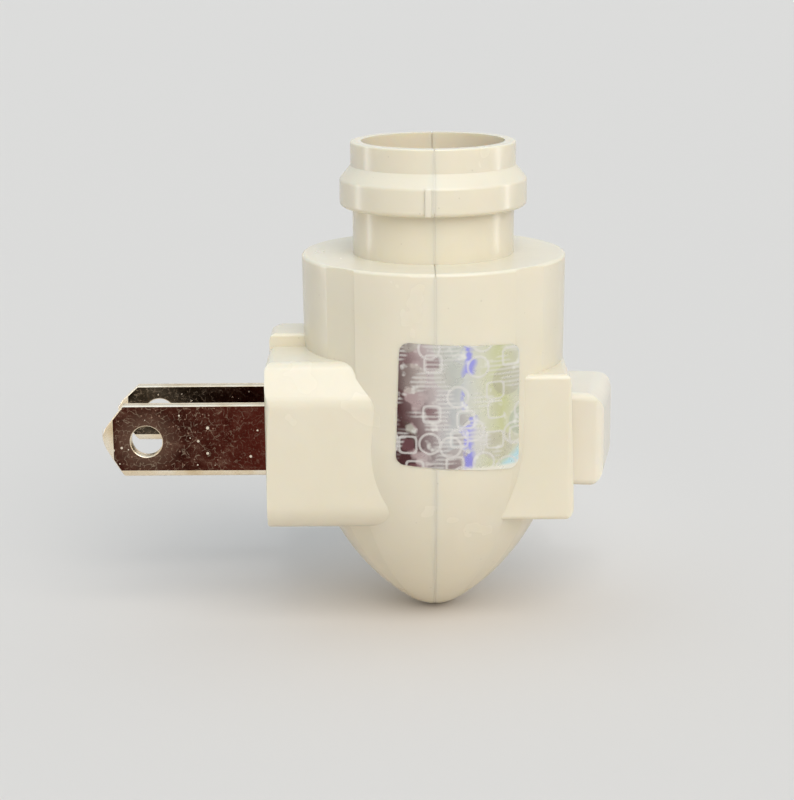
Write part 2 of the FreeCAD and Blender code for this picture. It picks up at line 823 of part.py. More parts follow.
def screw_shell():
    """Thin brass shell with a rolled thread, a flange on the holder's ledge and an open floor."""
    low = thread_bore_radius + brass_sheet
    high = low + thread_depth
    span = thread_turns * thread_pitch
    first_z = (shell_floor_z + ledge_z - span) / 2
    path = [(screw_shell_floor_hole, shell_floor_z), (low, shell_floor_z)]
    for turn in range(thread_turns):
        crest_z = first_z + turn * thread_pitch
        path.append((low, crest_z))
        path.append((high, crest_z + thread_pitch / 2))
    path.append((low, first_z + span))
    path.append((low, ledge_z))
    path.append((screw_shell_flange_radius, ledge_z))
    shell = turned(sheet(path, brass_sheet, sheet_bend_radius))
    hole = Part.makeCylinder(small_rivet_radius + rivet_clearance, 2 * cut_over,
                             point(axis_x, neutral_rivet_y, shell_floor_z - cut_over))
    return shell.cut(hole)


def neutral_shell_rivet():
    start = point(axis_x, neutral_rivet_y, shell_floor_z - strap_thickness)
    return rivet(start, point(0, 0, 1), strap_thickness + brass_sheet,
                 small_rivet_radius, small_rivet_head, small_rivet_head_height)


def socket_insulator():
    """Fibre disc that closes the holder and keeps the centre contact off the screw shell."""
    disc = Part.makeCylinder(insulator_radius, insulator_thickness, point(axis_x, 0, insulator_bottom_z))
    hole = Part.makeCylinder(small_rivet_radius + 2 * rivet_clearance,
                             insulator_thickness + 2 * cut_over,
                             point(axis_x, 0, insulator_bottom_z - cut_over))
    half = strap_width / 2 + 2 * fit_gap
    notch = block(axis_x - half, axis_x + half, -insulator_radius - cut_over,
                  -screw_shell_floor_hole, insulator_bottom_z - cut_over, shell_floor_z + cut_over)
    return disc.cut([hole, notch])


def centre_contact():
    """Phosphor bronze leaf, folded back over itself so that it springs against the lamp's tip."""
    half = contact_width / 2
    floor = shell_floor_z
    reach = contact_half_length
    path = [
        (axis_x - reach, floor),
        (axis_x + reach, floor),
        (axis_x + reach + contact_bow, floor + contact_bow_height),
        (axis_x - contact_crest_offset, floor + contact_rise),
        (axis_x - reach, floor + contact_end_height),
    ]
    leaf = slab("y", -half, half, sheet(path, contact_sheet, contact_sheet))
    hole = Part.makeCylinder(small_rivet_radius + rivet_clearance, 2 * contact_sheet,
                             point(axis_x, 0, floor - fit_gap))
    return leaf.cut(hole)


def centre_contact_rivet():
    start = point(axis_x, 0, insulator_bottom_z - strap_thickness)
    grip = strap_thickness + insulator_thickness + contact_sheet
    return rivet(start, point(0, 0, 1), grip,
                 small_rivet_radius, small_rivet_head, small_rivet_head_height)


# Rocker switch


def switch_base():
    """Moulded base of the switch, pressed into the well; both terminals lie on its front face."""
    half = well_half_width - fit_gap / 2
    height = well_half_height - fit_gap / 2
    base = block(base_back_x, base_front_x, -half, half, rocker_z - height, rocker_z + height)
    strap_half = strap_width / 2 + fit_gap
    strap_slot = block(base_back_x - cut_over, base_front_x + cut_over, blade_face - fit_gap,
                       strap_outer_y + fit_gap, rocker_z - strap_half, rocker_z + strap_half)
    tail_half = contact_width / 2 + fit_gap
    tail_slot = block(base_back_x - cut_over, base_front_x + cut_over, -tail_half, tail_half,
                      terminal_top_z - strap_thickness - 3 * fit_gap, terminal_top_z + fit_gap)
    return base.cut([strap_slot, tail_slot])


def fixed_terminal():
    """Brass strip from the fixed contact, through the base and up to the centre contact's rivet."""
    half = contact_width / 2
    top = terminal_top_z
    limb_low = top - terminal_limb_height
    limb_high = top - strap_thickness
    pad_half = fixed_button_radius + fit_gap
    pad = slab("x", base_front_x, terminal_front_x, [
        (-contact_offset - pad_half, rocker_z - pad_half, sheet_bend_radius),
        (-contact_offset + pad_half, rocker_z - pad_half, sheet_bend_radius),
        (-contact_offset + pad_half, limb_low, sheet_bend_radius),
        (half, limb_low, 0),
        (half, limb_high, 0),
        (-contact_offset - pad_half, limb_high, sheet_bend_radius),
    ])
    rise_x = axis_x + small_rivet_head + rivet_gap + strap_thickness
    tail = slab("y", -half, half, sheet([
        (terminal_front_x, limb_low),
        (terminal_front_x, top),
        (rise_x, top),
        (rise_x, insulator_bottom_z),
        (axis_x - small_rivet_head, insulator_bottom_z)], strap_thickness, sheet_bend_radius / 2))
    hole = Part.makeCylinder(small_rivet_radius + rivet_clearance, 2 * cut_over,
                             point(axis_x, 0, insulator_bottom_z - cut_over))
    button_start = point(base_front_x - fit_gap, -contact_offset, rocker_z)
    button_hole = Part.makeCylinder(button_shank_radius + button_shank_clearance,
                                    2 * strap_thickness, button_start, point(1, 0, 0))
    return pad.fuse(tail).cut([hole, button_hole]).removeSplitter()


def fixed_contact_button():
    """Silver button on the fixed terminal, just short of the moving one when the switch is on."""
    tilt = math.radians(seesaw_half_tilt_deg)
    closed_x = seesaw_x - contact_offset * math.sin(tilt) - strap_thickness / 2 - moving_button_height
    height = closed_x - button_gap - terminal_front_x
    start = point(terminal_front_x, -contact_offset, rocker_z)
    head = Part.makeCylinder(fixed_button_radius, height, start, point(1, 0, 0))
    shank = Part.makeCylinder(button_shank_radius, strap_thickness,
                              point(base_front_x, -contact_offset, rocker_z), point(1, 0, 0))
    return head.fuse(shank)


def tilted_seesaw(shape):
    """Turns a see-saw piece from its middle to its place at rest, contacts open."""
    return shape.rotated(point(seesaw_x, 0, 0), point(0, 0, 1), seesaw_half_tilt_deg)


def seesaw_contact():
    """Brass plate that rocks on two lugs in the ears of the live strap."""
    half = strap_thickness / 2
    plate = slab("x", seesaw_x - half, seesaw_x + half, rectangle(
        -seesaw_length_contact_side, seesaw_length_free_side,
        rocker_z - seesaw_half_height, rocker_z + seesaw_half_height, mould_radius))
    lug_half = seesaw_half_height + pivot_ear_gap + strap_thickness + 2 * fit_gap
    lugs = Part.makeCylinder(seesaw_lug_radius, 2 * lug_half, point(seesaw_x, 0, rocker_z - lug_half))
    trim = block(seesaw_x + half, seesaw_x + 2 * cut_over, -2 * cut_over, 2 * cut_over,
                 rocker_z - seesaw_half_height, rocker_z + seesaw_half_height)
    hole = Part.makeCylinder(button_shank_radius + button_shank_clearance, 2 * cut_over,
                             point(seesaw_x - cut_over, -contact_offset, rocker_z), point(1, 0, 0))
    return tilted_seesaw(plate.fuse(lugs.cut(trim)).cut(hole).removeSplitter())


def moving_contact_button():
    half = strap_thickness / 2
    face = point(seesaw_x - half - moving_button_height, -contact_offset, rocker_z)
    head = Part.makeCylinder(moving_button_radius, moving_button_height, face, point(1, 0, 0))
    grip = strap_thickness + moving_button_height
    shank = Part.makeCylinder(button_shank_radius, grip, face, point(1, 0, 0))
    rivet_end = Part.makeCylinder(button_tail_radius, button_tail_height,
                                  point(seesaw_x + half, -contact_offset, rocker_z), point(1, 0, 0))
    return tilted_seesaw(head.fuse([shank, rivet_end]))


def turned_rocker(shape):
    """Turns a rocker piece from its middle to its place at rest, near side pushed in."""
    return shape.rotated(point(rocker_pivot_x, 0, 0), point(0, 0, 1), -rocker_half_travel_deg)


def rocker():
    """Moulded rocker: hollow cap with rounded front corners, two trunnions and a hollow stem."""
    front = rocker_pivot_x + rocker_front
    back = rocker_pivot_x - rocker_back
    low = rocker_z - rocker_half_height
    high = rocker_z + rocker_half_height
    half = rocker_half_width
    r = rocker_corner_radius
    side_view = [(back, low, 0), (front, low, r), (front, high, r), (back, high, 0)]
    plan_view = [(back, -half, 0), (front, -half, rocker_edge_radius),
                 (front, half, rocker_edge_radius), (back, half, 0)]
    end_view = rectangle(-half, half, low, high, rocker_side_radius)
    cap = slab("y", -half, half, side_view).common(slab("z", low, high, plan_view))
    cap = cap.common(slab("x", back, front, end_view))
    inner = rocker_wall
    room = slab("y", -half + inner, half - inner, [
        (back - cut_over, low + inner, 0),
        (front - inner, low + inner, max(r - inner, mould_radius)),
        (front - inner, high - inner, max(r - inner, mould_radius)),
        (back - cut_over, high - inner, 0),
    ])
    cap = cap.cut(room)
    stem_radius = plunger_radius + plunger_clearance + stem_wall
    stem = Part.makeCylinder(stem_radius, front - inner / 2 - stem_bore_end,
                             point(stem_bore_end, 0, rocker_z), point(1, 0, 0))
    bore_end = spring_start_x + spring_length
    bore = Part.makeCylinder(plunger_radius + plunger_clearance, bore_end - stem_bore_end + cut_over,
                             point(stem_bore_end - cut_over, 0, rocker_z), point(1, 0, 0))
    shape = cap.fuse(stem).cut(bore)
    for side in (-1, 1):
        start = rocker_z + side * (rocker_half_height - inner / 2)
        length = trunnion_length + inner / 2
        shape = shape.fuse(Part.makeCylinder(trunnion_radius, length, point(rocker_pivot_x, 0, start),
                                             point(0, 0, side)))
    return turned_rocker(shape.removeSplitter())


def plunger():
    """Plastic plunger with a domed tip, pushed by the spring against the see-saw."""
    body = Part.makeCylinder(plunger_radius, plunger_length - plunger_radius,
                             point(plunger_tip_x + plunger_radius, 0, rocker_z), point(1, 0, 0))
    dome = Part.makeSphere(plunger_radius, point(plunger_tip_x + plunger_radius, 0, rocker_z))
    return turned_rocker(body.fuse(dome).removeSplitter())


def plunger_spring():
    """Steel coil spring between the plunger and the end of the stem's bore."""
    wire = spring_wire / 2
    mean_radius = plunger_radius - wire - plunger_clearance
    rise = spring_length - spring_wire - 2 * spring_end_gap
    helix = Part.makeHelix(rise / spring_turns, rise, mean_radius)
    start = Part.Circle(point(mean_radius, 0, 0), point(0, 1, 0), wire).toShape()
    coil = Part.Wire(helix.Edges).makePipeShell([Part.Wire(start)], True, True)
    coil.rotate(point(0, 0, 0), point(0, 1, 0), 90)
    coil.translate(point(spring_start_x + wire + spring_end_gap, 0, rocker_z))
    return turned_rocker(coil)


# Label


def foil_label():
    """Thin foil label on the round front panel, bent to the body across the seam, a little askew."""
    left = axis_x - label_left
    right = axis_x + label_right
    half_drop = label_drop / 2
    half_foot_drop = label_foot_drop / 2
    half_lean = label_lean / 2
    window = slab("y", -2 * body_radius, 0, [
        (left - half_lean, label_bottom + half_foot_drop, label_corner_radius),
        (right, label_bottom - half_foot_drop, label_corner_radius),
        (right, label_top - half_drop, label_corner_radius),
        (left + half_lean, label_top + half_drop, label_corner_radius),
    ])
    trim = block(0, 2 * axis_x, -2 * body_radius, 0, label_bottom - wall, label_top + wall)
    inside = body_form(label_gap).common(trim)
    outside = body_form(label_gap + label_thickness).common(trim)
    return outside.cut(inside).common(window).removeSplitter()


nodes = {
    "rear_shell": rear_shell,
    "front_shell": front_shell,
    "blade_retainer": blade_retainer,
    "wide_blade": lambda: blade(-1, wide_blade_height),
    "narrow_blade": lambda: blade(1, narrow_blade_height),
    "neutral_strap": neutral_strap,
    "live_strap": live_strap,
    "neutral_blade_rivet": lambda: blade_rivet(-1),
    "live_blade_rivet": lambda: blade_rivet(1),
    "neutral_shell_rivet": neutral_shell_rivet,
    "screw_shell": screw_shell,
    "socket_insulator": socket_insulator,
    "centre_contact": centre_contact,
    "centre_contact_rivet": centre_contact_rivet,
    "switch_base": switch_base,
    "fixed_terminal": fixed_terminal,
    "fixed_contact_button": fixed_contact_button,
    "seesaw_contact": seesaw_contact,
    "moving_contact_button": moving_contact_button,
    "rocker": rocker,
    "plunger": plunger,
    "plunger_spring": plunger_spring,
    "foil_label": foil_label,
}

for name, make in nodes.items():
    shape = make()
    shape.exportStep("parts/" + name + ".step")
    box = shape.BoundBox
    print(name, len(shape.Solids), "solid", shape.isValid(), "volume", round(shape.Volume, 2),
          "x", round(box.XMin, 2), round(box.XMax, 2), "y", round(box.YMin, 2), round(box.YMax, 2),
          "z", round(box.ZMin, 2), round(box.ZMax, 2))
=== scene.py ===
import bpy
import math
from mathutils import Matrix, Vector


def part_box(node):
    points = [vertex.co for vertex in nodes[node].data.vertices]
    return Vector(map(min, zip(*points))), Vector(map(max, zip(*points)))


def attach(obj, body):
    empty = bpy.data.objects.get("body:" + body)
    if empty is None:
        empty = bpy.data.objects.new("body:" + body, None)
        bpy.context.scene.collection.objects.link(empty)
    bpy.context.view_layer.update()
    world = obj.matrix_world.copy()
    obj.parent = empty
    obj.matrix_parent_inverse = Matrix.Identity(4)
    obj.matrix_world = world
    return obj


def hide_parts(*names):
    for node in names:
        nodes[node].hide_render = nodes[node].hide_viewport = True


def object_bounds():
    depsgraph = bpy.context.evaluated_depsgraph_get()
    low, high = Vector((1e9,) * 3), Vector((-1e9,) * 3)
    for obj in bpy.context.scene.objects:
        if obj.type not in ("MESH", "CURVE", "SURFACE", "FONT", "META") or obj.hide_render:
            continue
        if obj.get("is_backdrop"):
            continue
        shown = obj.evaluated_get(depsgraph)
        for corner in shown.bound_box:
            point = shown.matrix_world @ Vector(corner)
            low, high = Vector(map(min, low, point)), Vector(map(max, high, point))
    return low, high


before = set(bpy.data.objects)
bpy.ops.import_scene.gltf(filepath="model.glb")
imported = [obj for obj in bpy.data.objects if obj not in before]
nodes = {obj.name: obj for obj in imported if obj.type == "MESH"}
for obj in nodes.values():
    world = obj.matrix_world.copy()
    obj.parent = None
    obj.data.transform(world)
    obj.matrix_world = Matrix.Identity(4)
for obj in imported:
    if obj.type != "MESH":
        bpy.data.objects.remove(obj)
cad_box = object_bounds()
bpy.ops.object.select_all(action="DESELECT")


# The two halves of the body, the rear one with the plug and the front one with the switch.
# Ivory plastic with the finish of urea, moulded in a polished steel mould and joined along the seam.
def srgb(hex_colour):
    """A hex colour as linear light."""
    channels = [int(hex_colour[i:i + 2], 16) / 255 for i in (0, 2, 4)]
    linear = [c / 12.92 if c <= 0.04045 else ((c + 0.055) / 1.055) ** 2.4 for c in channels]
    return (*linear, 1.0)


def add(material, kind, values={}, links={}, **settings):
    """Adds a node with its settings, its socket values and its links from other nodes' outputs."""
    node = material.node_tree.nodes.new(kind)
    for name, value in settings.items():
        setattr(node, name, value)
    for socket, value in values.items():
        node.inputs[socket].default_value = value
    for socket, (source, output) in links.items():
        material.node_tree.links.new(source.outputs[output], node.inputs[socket])
    return node


def new_material(name):
    """A material with an empty node tree."""
    material = bpy.data.materials.new(name)
    material.use_nodes = True
    material.node_tree.nodes.clear()
    return material


def set_ramp(ramp, stops):
    """Sets a colour ramp's stops, each a place and a hex colour."""
    elements = ramp.color_ramp.elements
    while len(elements) < len(stops):
        elements.new(0.5)
    for element, (place, colour) in zip(elements, stops):
        element.position = place
        element.color = srgb(colour)


def per_metre(millimetres):
    """The scale of a pattern whose features repeat every so many millimetres."""
    return 1000.0 / millimetres


def moulded(name, shaded, plain, light, roughness, depth_share):
    """Semi-gloss urea: creamy body colour, faint flow clouds, an orange peel and pinpoint dust."""
    cloud_size, peel_size, dust_size = 9.0, 1.1, 2.6
    plastic = new_material(name)
    place = add(plastic, "ShaderNodeTexCoord")
    cloud = add(plastic, "ShaderNodeTexNoise",
                {"Scale": per_metre(cloud_size), "Detail": 3.0, "Roughness": 0.5},
                {"Vector": (place, "Object")})
    tint = add(plastic, "ShaderNodeValToRGB", {}, {"Fac": (cloud, "Fac")})
    set_ramp(tint, [(0.15, shaded), (0.50, plain), (0.85, light)])
    dust = add(plastic, "ShaderNodeTexVoronoi", {"Scale": per_metre(dust_size)},
               {"Vector": (place, "Object")})
    speck = add(plastic, "ShaderNodeMapRange",
                {"From Min": 0.030, "From Max": 0.045, "To Min": 0.22, "To Max": 0.0},
                {"Value": (dust, "Distance")})
    body = add(plastic, "ShaderNodeMix", {"B": srgb("A89A80")},
               {"Factor": (speck, "Result"), "A": (tint, "Color")}, data_type="RGBA")
    gloss = add(plastic, "ShaderNodeMapRange", {"To Min": roughness - 0.05, "To Max": roughness + 0.05},
                {"Value": (cloud, "Fac")})
    peel = add(plastic, "ShaderNodeTexNoise", {"Scale": per_metre(peel_size), "Detail": 1.0},
               {"Vector": (place, "Object")})
    bump = add(plastic, "ShaderNodeBump", {"Strength": 0.10, "Distance": 0.0001}, {"Height": (peel, "Fac")})
    shader = add(plastic, "ShaderNodeBsdfPrincipled",
                 {"IOR": 1.52, "Subsurface Weight": depth_share, "Subsurface Scale": 0.0012,
                  "Subsurface Radius": (1.0, 0.75, 0.45)},
                 {"Base Color": (body, "Result"), "Roughness": (gloss, "Result"),
                  "Normal": (bump, "Normal")})
    add(plastic, "ShaderNodeOutputMaterial", {}, {"Surface": (shader, "BSDF")})
    return plastic


def dress(names, material):
    """Gives CAD nodes a material in place of their plain one."""
    for name in names:
        nodes[name].data.materials.clear()
        nodes[name].data.materials.append(material)


# Urea: warm ivory, a little translucent, so edges glow and shadows stay soft.
ivory_urea = moulded("ivory_urea", "E3D9C1", "E6DCC5", "E9DFC9", 0.26, 0.35)
dress(("rear_shell", "front_shell"), ivory_urea)

# The same urea where it is a fraction of a millimetre thick: no depth for the light to spread in.
thin_urea = moulded("thin_ivory_urea", "E0D6C0", "E4DAC5", "E8DFCB", 0.30, 0.0)


# A small upright bead on the collar, just beside the seam, where the mould let plastic through.
# It is of one piece with the rear half, 3 mm tall and a fifth of a millimetre proud.
def add_box(name, low, high):
    """A box between two corners, with its place in its mesh."""
    low, high = Vector(low), Vector(high)
    bpy.ops.mesh.primitive_cube_add(size=1, location=(low + high) / 2)
    box = bpy.context.object
    box.name = name
    box.scale = high - low
    bpy.ops.object.transform_apply(location=True, rotation=True, scale=True)
    return box


bead_x = (0.01725, 0.01795)
bead_z = (0.0251, 0.0281)
collar_radius = 0.01032
bead_proud = 0.00018
bead_root = 0.0005
bead = add_box("collar_bead", (bead_x[0], -collar_radius - bead_proud, bead_z[0]),
               (bead_x[1], -collar_radius + bead_root, bead_z[1]))
rounding = bead.modifiers.new("rounded", "BEVEL")
rounding.width = 0.00016
rounding.segments = 4
bpy.ops.object.modifier_apply(modifier="rounded")
bpy.ops.object.shade_smooth()
bead.data.materials.append(thin_urea)
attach(bead, "casing")
bpy.ops.object.select_all(action="DESELECT")


# The two mains blades, each a brass strip folded along its lower edge, coined to a taper at the tip
# and pierced. Shoulders behind the wall hold it in its slot, and a tail carries the strap's rivet.
def blade_face_metal(name, deep, plain, haze):
    """Old polished brass strip gone maroon-brown, partly tarnish and partly a painted dark reflection:
    speckled, finely scratched, hazed round the hole.
    """
    speck_size, fleck_size, scratch_size, cloud_size, grain_size = 0.95, 0.42, 0.62, 1.5, 0.16
    bend_size, patch_size = 1.3, 0.5
    metal = new_material(name)
    place = add(metal, "ShaderNodeTexCoord")
    cloud = add(metal, "ShaderNodeTexNoise",
                {"Scale": per_metre(cloud_size), "Detail": 6.0, "Roughness": 0.7},
                {"Vector": (place, "Object")})
    tone = add(metal, "ShaderNodeValToRGB", {}, {"Fac": (cloud, "Fac")})
    set_ramp(tone, [(0.36, deep), (0.55, plain), (0.78, haze)])
    to_hole = add(metal, "ShaderNodeMapping",
                  {"Location": (hole_from_wall, 0.0, 0.0), "Scale": (1.0, 0.0, 1.0)},
                  {"Vector": (place, "Object")})
    reach = add(metal, "ShaderNodeVectorMath", {}, {"Vector": (to_hole, "Vector")}, operation="LENGTH")
    near_hole = add(metal, "ShaderNodeMapRange",
                    {"From Min": hole_radius * 1.1, "From Max": hole_radius * 2.3, "To Min": 0.55,
                     "To Max": 0.0},
                    {"Value": (reach, "Value")})
    hazed = add(metal, "ShaderNodeMix", {"B": srgb(haze)},
                {"Factor": (near_hole, "Result"), "A": (tone, "Color")}, data_type="RGBA")
    apart = add(metal, "ShaderNodeSeparateXYZ", {}, {"Vector": (place, "Object")})
    near_wall = add(metal, "ShaderNodeMapRange",
                    {"From Min": -0.009, "From Max": 0.0, "To Min": 0.0, "To Max": 0.65},
                    {"Value": (apart, "X")})
    worn_share = add(metal, "ShaderNodeMapRange",
                     {"From Min": -0.008, "From Max": -0.001, "To Min": 1.0, "To Max": 0.3},
                     {"Value": (apart, "X")})
    reddened = add(metal, "ShaderNodeMix", {"B": srgb("5E2219")},
                   {"Factor": (near_wall, "Result"), "A": (hazed, "Result")}, data_type="RGBA")
    specks = add(metal, "ShaderNodeTexVoronoi", {"Scale": per_metre(speck_size)},
                 {"Vector": (place, "Object")})
    speck_reach = add(metal, "ShaderNodeSeparateColor", {}, {"Color": (specks, "Color")})
    speck_limit = add(metal, "ShaderNodeMapRange",
                      {"From Min": 0.35, "From Max": 1.0, "To Min": 0.0, "To Max": 0.19},
                      {"Value": (speck_reach, "Red")})
    speck = add(metal, "ShaderNodeMath", {}, {0: (specks, "Distance"), 1: (speck_limit, "Result")},
                operation="LESS_THAN")
    flecks = add(metal, "ShaderNodeTexVoronoi", {"Scale": per_metre(fleck_size)},
                 {"Vector": (place, "Object")})
    fleck_reach = add(metal, "ShaderNodeSeparateColor", {}, {"Color": (flecks, "Color")})
    fleck_limit = add(metal, "ShaderNodeMapRange",
                      {"From Min": 0.50, "From Max": 1.0, "To Min": 0.0, "To Max": 0.24},
                      {"Value": (fleck_reach, "Green")})
    fleck = add(metal, "ShaderNodeMath", {}, {0: (flecks, "Distance"), 1: (fleck_limit, "Result")},
                operation="LESS_THAN")
    bend = add(metal, "ShaderNodeTexNoise", {"Scale": per_metre(bend_size), "Detail": 1.0},
               {"Vector": (place, "Object")})
    bent = add(metal, "ShaderNodeMix", {"Factor": 0.0012}, {"A": (place, "Object"), "B": (bend, "Color")},
               data_type="VECTOR")
    hairs = add(metal, "ShaderNodeTexVoronoi", {"Scale": per_metre(scratch_size)},
                {"Vector": (bent, "Result")}, feature="DISTANCE_TO_EDGE")
    hair = add(metal, "ShaderNodeMapRange",
               {"From Min": 0.015, "From Max": 0.060, "To Min": 1.0, "To Max": 0.0},
               {"Value": (hairs, "Distance")})
    patches = add(metal, "ShaderNodeTexNoise", {"Scale": per_metre(patch_size), "Detail": 1.0},
                  {"Vector": (place, "Object")})
    in_patch = add(metal, "ShaderNodeMapRange", {"From Min": 0.44, "From Max": 0.58, "To Max": 0.50},
                   {"Value": (patches, "Fac")})
    hairy = add(metal, "ShaderNodeMath", {}, {0: (hair, "Result"), 1: (in_patch, "Result")},
                operation="MULTIPLY")
    scratch = add(metal, "ShaderNodeMath", {}, {0: (hairy, "Value"), 1: (worn_share, "Result")},
                  operation="MULTIPLY")
    scratched = add(metal, "ShaderNodeMix", {"B": srgb("B7A38C")},
                    {"Factor": (scratch, "Value"), "A": (reddened, "Result")}, data_type="RGBA")
    worn_fleck = add(metal, "ShaderNodeMath", {}, {0: (fleck, "Value"), 1: (worn_share, "Result")},
                     operation="MULTIPLY")
    flecked = add(metal, "ShaderNodeMix", {"B": srgb("A07F6C")},
                  {"Factor": (worn_fleck, "Value"), "A": (scratched, "Result")}, data_type="RGBA")
    grain = add(metal, "ShaderNodeTexNoise", {"Scale": per_metre(grain_size), "Detail": 2.0},
                {"Vector": (place, "Object")})
    rubbed = add(metal, "ShaderNodeMapRange", {"From Min": 0.55, "From Max": 0.75, "To Max": 0.34},
                 {"Value": (grain, "Fac")})
    grained = add(metal, "ShaderNodeMix", {"B": srgb(haze)},
                  {"Factor": (rubbed, "Result"), "A": (flecked, "Result")}, data_type="RGBA")
    specked = add(metal, "ShaderNodeMix", {"B": srgb("F2E4CE")},
                  {"Factor": (speck, "Value"), "A": (grained, "Result")}, data_type="RGBA")
    gloss = add(metal, "ShaderNodeMapRange", {"To Min": 0.16, "To Max": 0.34}, {"Value": (cloud, "Fac")})
    relief = add(metal, "ShaderNodeMath", {}, {0: (scratch, "Value"), 1: (speck, "Value")}, operation="ADD")
    bump = add(metal, "ShaderNodeBump", {"Strength": 0.25, "Distance": 0.00003},
               {"Height": (relief, "Value")})
    shader = add(metal, "ShaderNodeBsdfPrincipled", {"Metallic": 1.0},
                 {"Base Color": (specked, "Result"), "Roughness": (gloss, "Result"),
                  "Normal": (bump, "Normal")})
    add(metal, "ShaderNodeOutputMaterial", {}, {"Surface": (shader, "BSDF")})
    return metal


def rolled_metal(name, shaded, plain, bright, roughness, grain):
    """Rolled or drawn metal sheet: fine lengthwise grain, soft tarnish clouds and small scuffs."""
    cloud_size, line_size, scuff_size = 2.5, 0.12, 0.7
    metal = new_material(name)
    place = add(metal, "ShaderNodeTexCoord")
    cloud = add(metal, "ShaderNodeTexNoise", {"Scale": per_metre(cloud_size), "Detail": 4.0},
                {"Vector": (place, "Object")})
    tint = add(metal, "ShaderNodeValToRGB", {}, {"Fac": (cloud, "Fac")})
    set_ramp(tint, [(0.30, shaded), (0.52, plain), (0.75, bright)])
    along = add(metal, "ShaderNodeMapping", {"Scale": grain}, {"Vector": (place, "Object")})
    lines = add(metal, "ShaderNodeTexNoise", {"Scale": per_metre(line_size), "Detail": 2.0},
                {"Vector": (along, "Vector")})
    scuffs = add(metal, "ShaderNodeTexNoise",
                 {"Scale": per_metre(scuff_size), "Detail": 5.0, "Roughness": 0.8},
                 {"Vector": (place, "Object")})
    wear = add(metal, "ShaderNodeMath", {1: 0.5}, {0: (scuffs, "Fac"), 2: (lines, "Fac")},
               operation="MULTIPLY_ADD")
    gloss = add(metal, "ShaderNodeMapRange",
                {"From Min": 0.4, "From Max": 1.1, "To Min": roughness * 0.6, "To Max": roughness * 1.5},
                {"Value": (wear, "Value")})
    bump = add(metal, "ShaderNodeBump", {"Strength": 0.12, "Distance": 0.00002}, {"Height": (lines, "Fac")})
    shader = add(metal, "ShaderNodeBsdfPrincipled", {"Metallic": 1.0},
                 {"Base Color": (tint, "Color"), "Roughness": (gloss, "Result"),
                  "Normal": (bump, "Normal")})
    add(metal, "ShaderNodeOutputMaterial", {}, {"Surface": (shader, "BSDF")})
    return metal


def cut_away(through, outwards):
    """Cuts off all that lies on one side of a plane and closes the cut."""
    bpy.ops.object.mode_set(mode="EDIT")
    bpy.ops.mesh.select_all(action="SELECT")
    bpy.ops.mesh.bisect(plane_co=through, plane_no=Vector(outwards).normalized(), use_fill=True,
                        clear_outer=True, threshold=nudge)
    bpy.ops.object.mode_set(mode="OBJECT")


def select_edges(piece, wanted):
    """Selects the edges whose two ends pass a test together, and goes into edit mode."""
    bpy.ops.object.mode_set(mode="EDIT")
    bpy.ops.mesh.select_mode(type="EDGE")
    bpy.ops.mesh.select_all(action="DESELECT")
    bpy.ops.object.mode_set(mode="OBJECT")
    for edge in piece.data.edges:
        edge.select = wanted(*[piece.data.vertices[i].co for i in edge.vertices])
    bpy.ops.object.mode_set(mode="EDIT")


def subtract(piece, cutter):
    """Takes one solid out of another and deletes the cutter."""
    hole = piece.modifiers.new("hole", "BOOLEAN")
    hole.operation = "DIFFERENCE"
    hole.solver = "EXACT"
    hole.object = cutter
    bpy.ops.object.select_all(action="DESELECT")
    piece.select_set(True)
    bpy.context.view_layer.objects.active = piece
    bpy.ops.object.modifier_apply(modifier="hole")
    bpy.data.objects.remove(cutter)


blade_tip_x = -0.0183
taper_x = -0.01595
tip_top_z = 0.00105
tip_low_z = -0.0003
coin_x = -0.0171
coin_half = 0.00045
inner_x = 0.002
shoulder_x = 0.004
tail_x = 0.0116
shoulder_step = 0.0011
tail_half = 0.0025
hole_from_wall = 0.01346
hole_radius = 0.00175
rivet_from_wall = 0.00905
rivet_hole_radius = 0.0009
fold_radius = 0.00074
leaf_gap = 0.0001
slit_depth = 0.0004
tip_corner_radius = 0.0008
edge_easing = 0.00008
nudge = 1e-6

# Brass faces dark maroon-brown, partly tarnish and partly a painted dark reflection; worn edges bright and
# creamy, bare brass under a painted highlight.
wide_face_painted_reflection = blade_face_metal("brass_face_painted_reflection", "33140D", "4A261D", "7C6252")
# The narrow blade's face is a darker copy of the same brass: painted shade.
narrow_face_painted_shade = blade_face_metal("brass_face_painted_shade", "1E170F", "32281D", "6B6152")
# Bare worn brass on the edges, lightened to cream: a painted highlight.
edge_painted_highlight = rolled_metal("worn_brass_edge_painted_highlight", "E4CDA8", "F8E8CC", "FFF6E4", 0.28, (0.15, 1.0, 1.0))
# A darker grey-green copy of the edge brass: painted shade on the top of the wide blade's far leaf.
far_leaf_edge_painted_shade = rolled_metal("brass_edge_painted_shade", "7F8069", "98977C", "B2AE90", 0.34, (0.15, 1.0, 1.0))

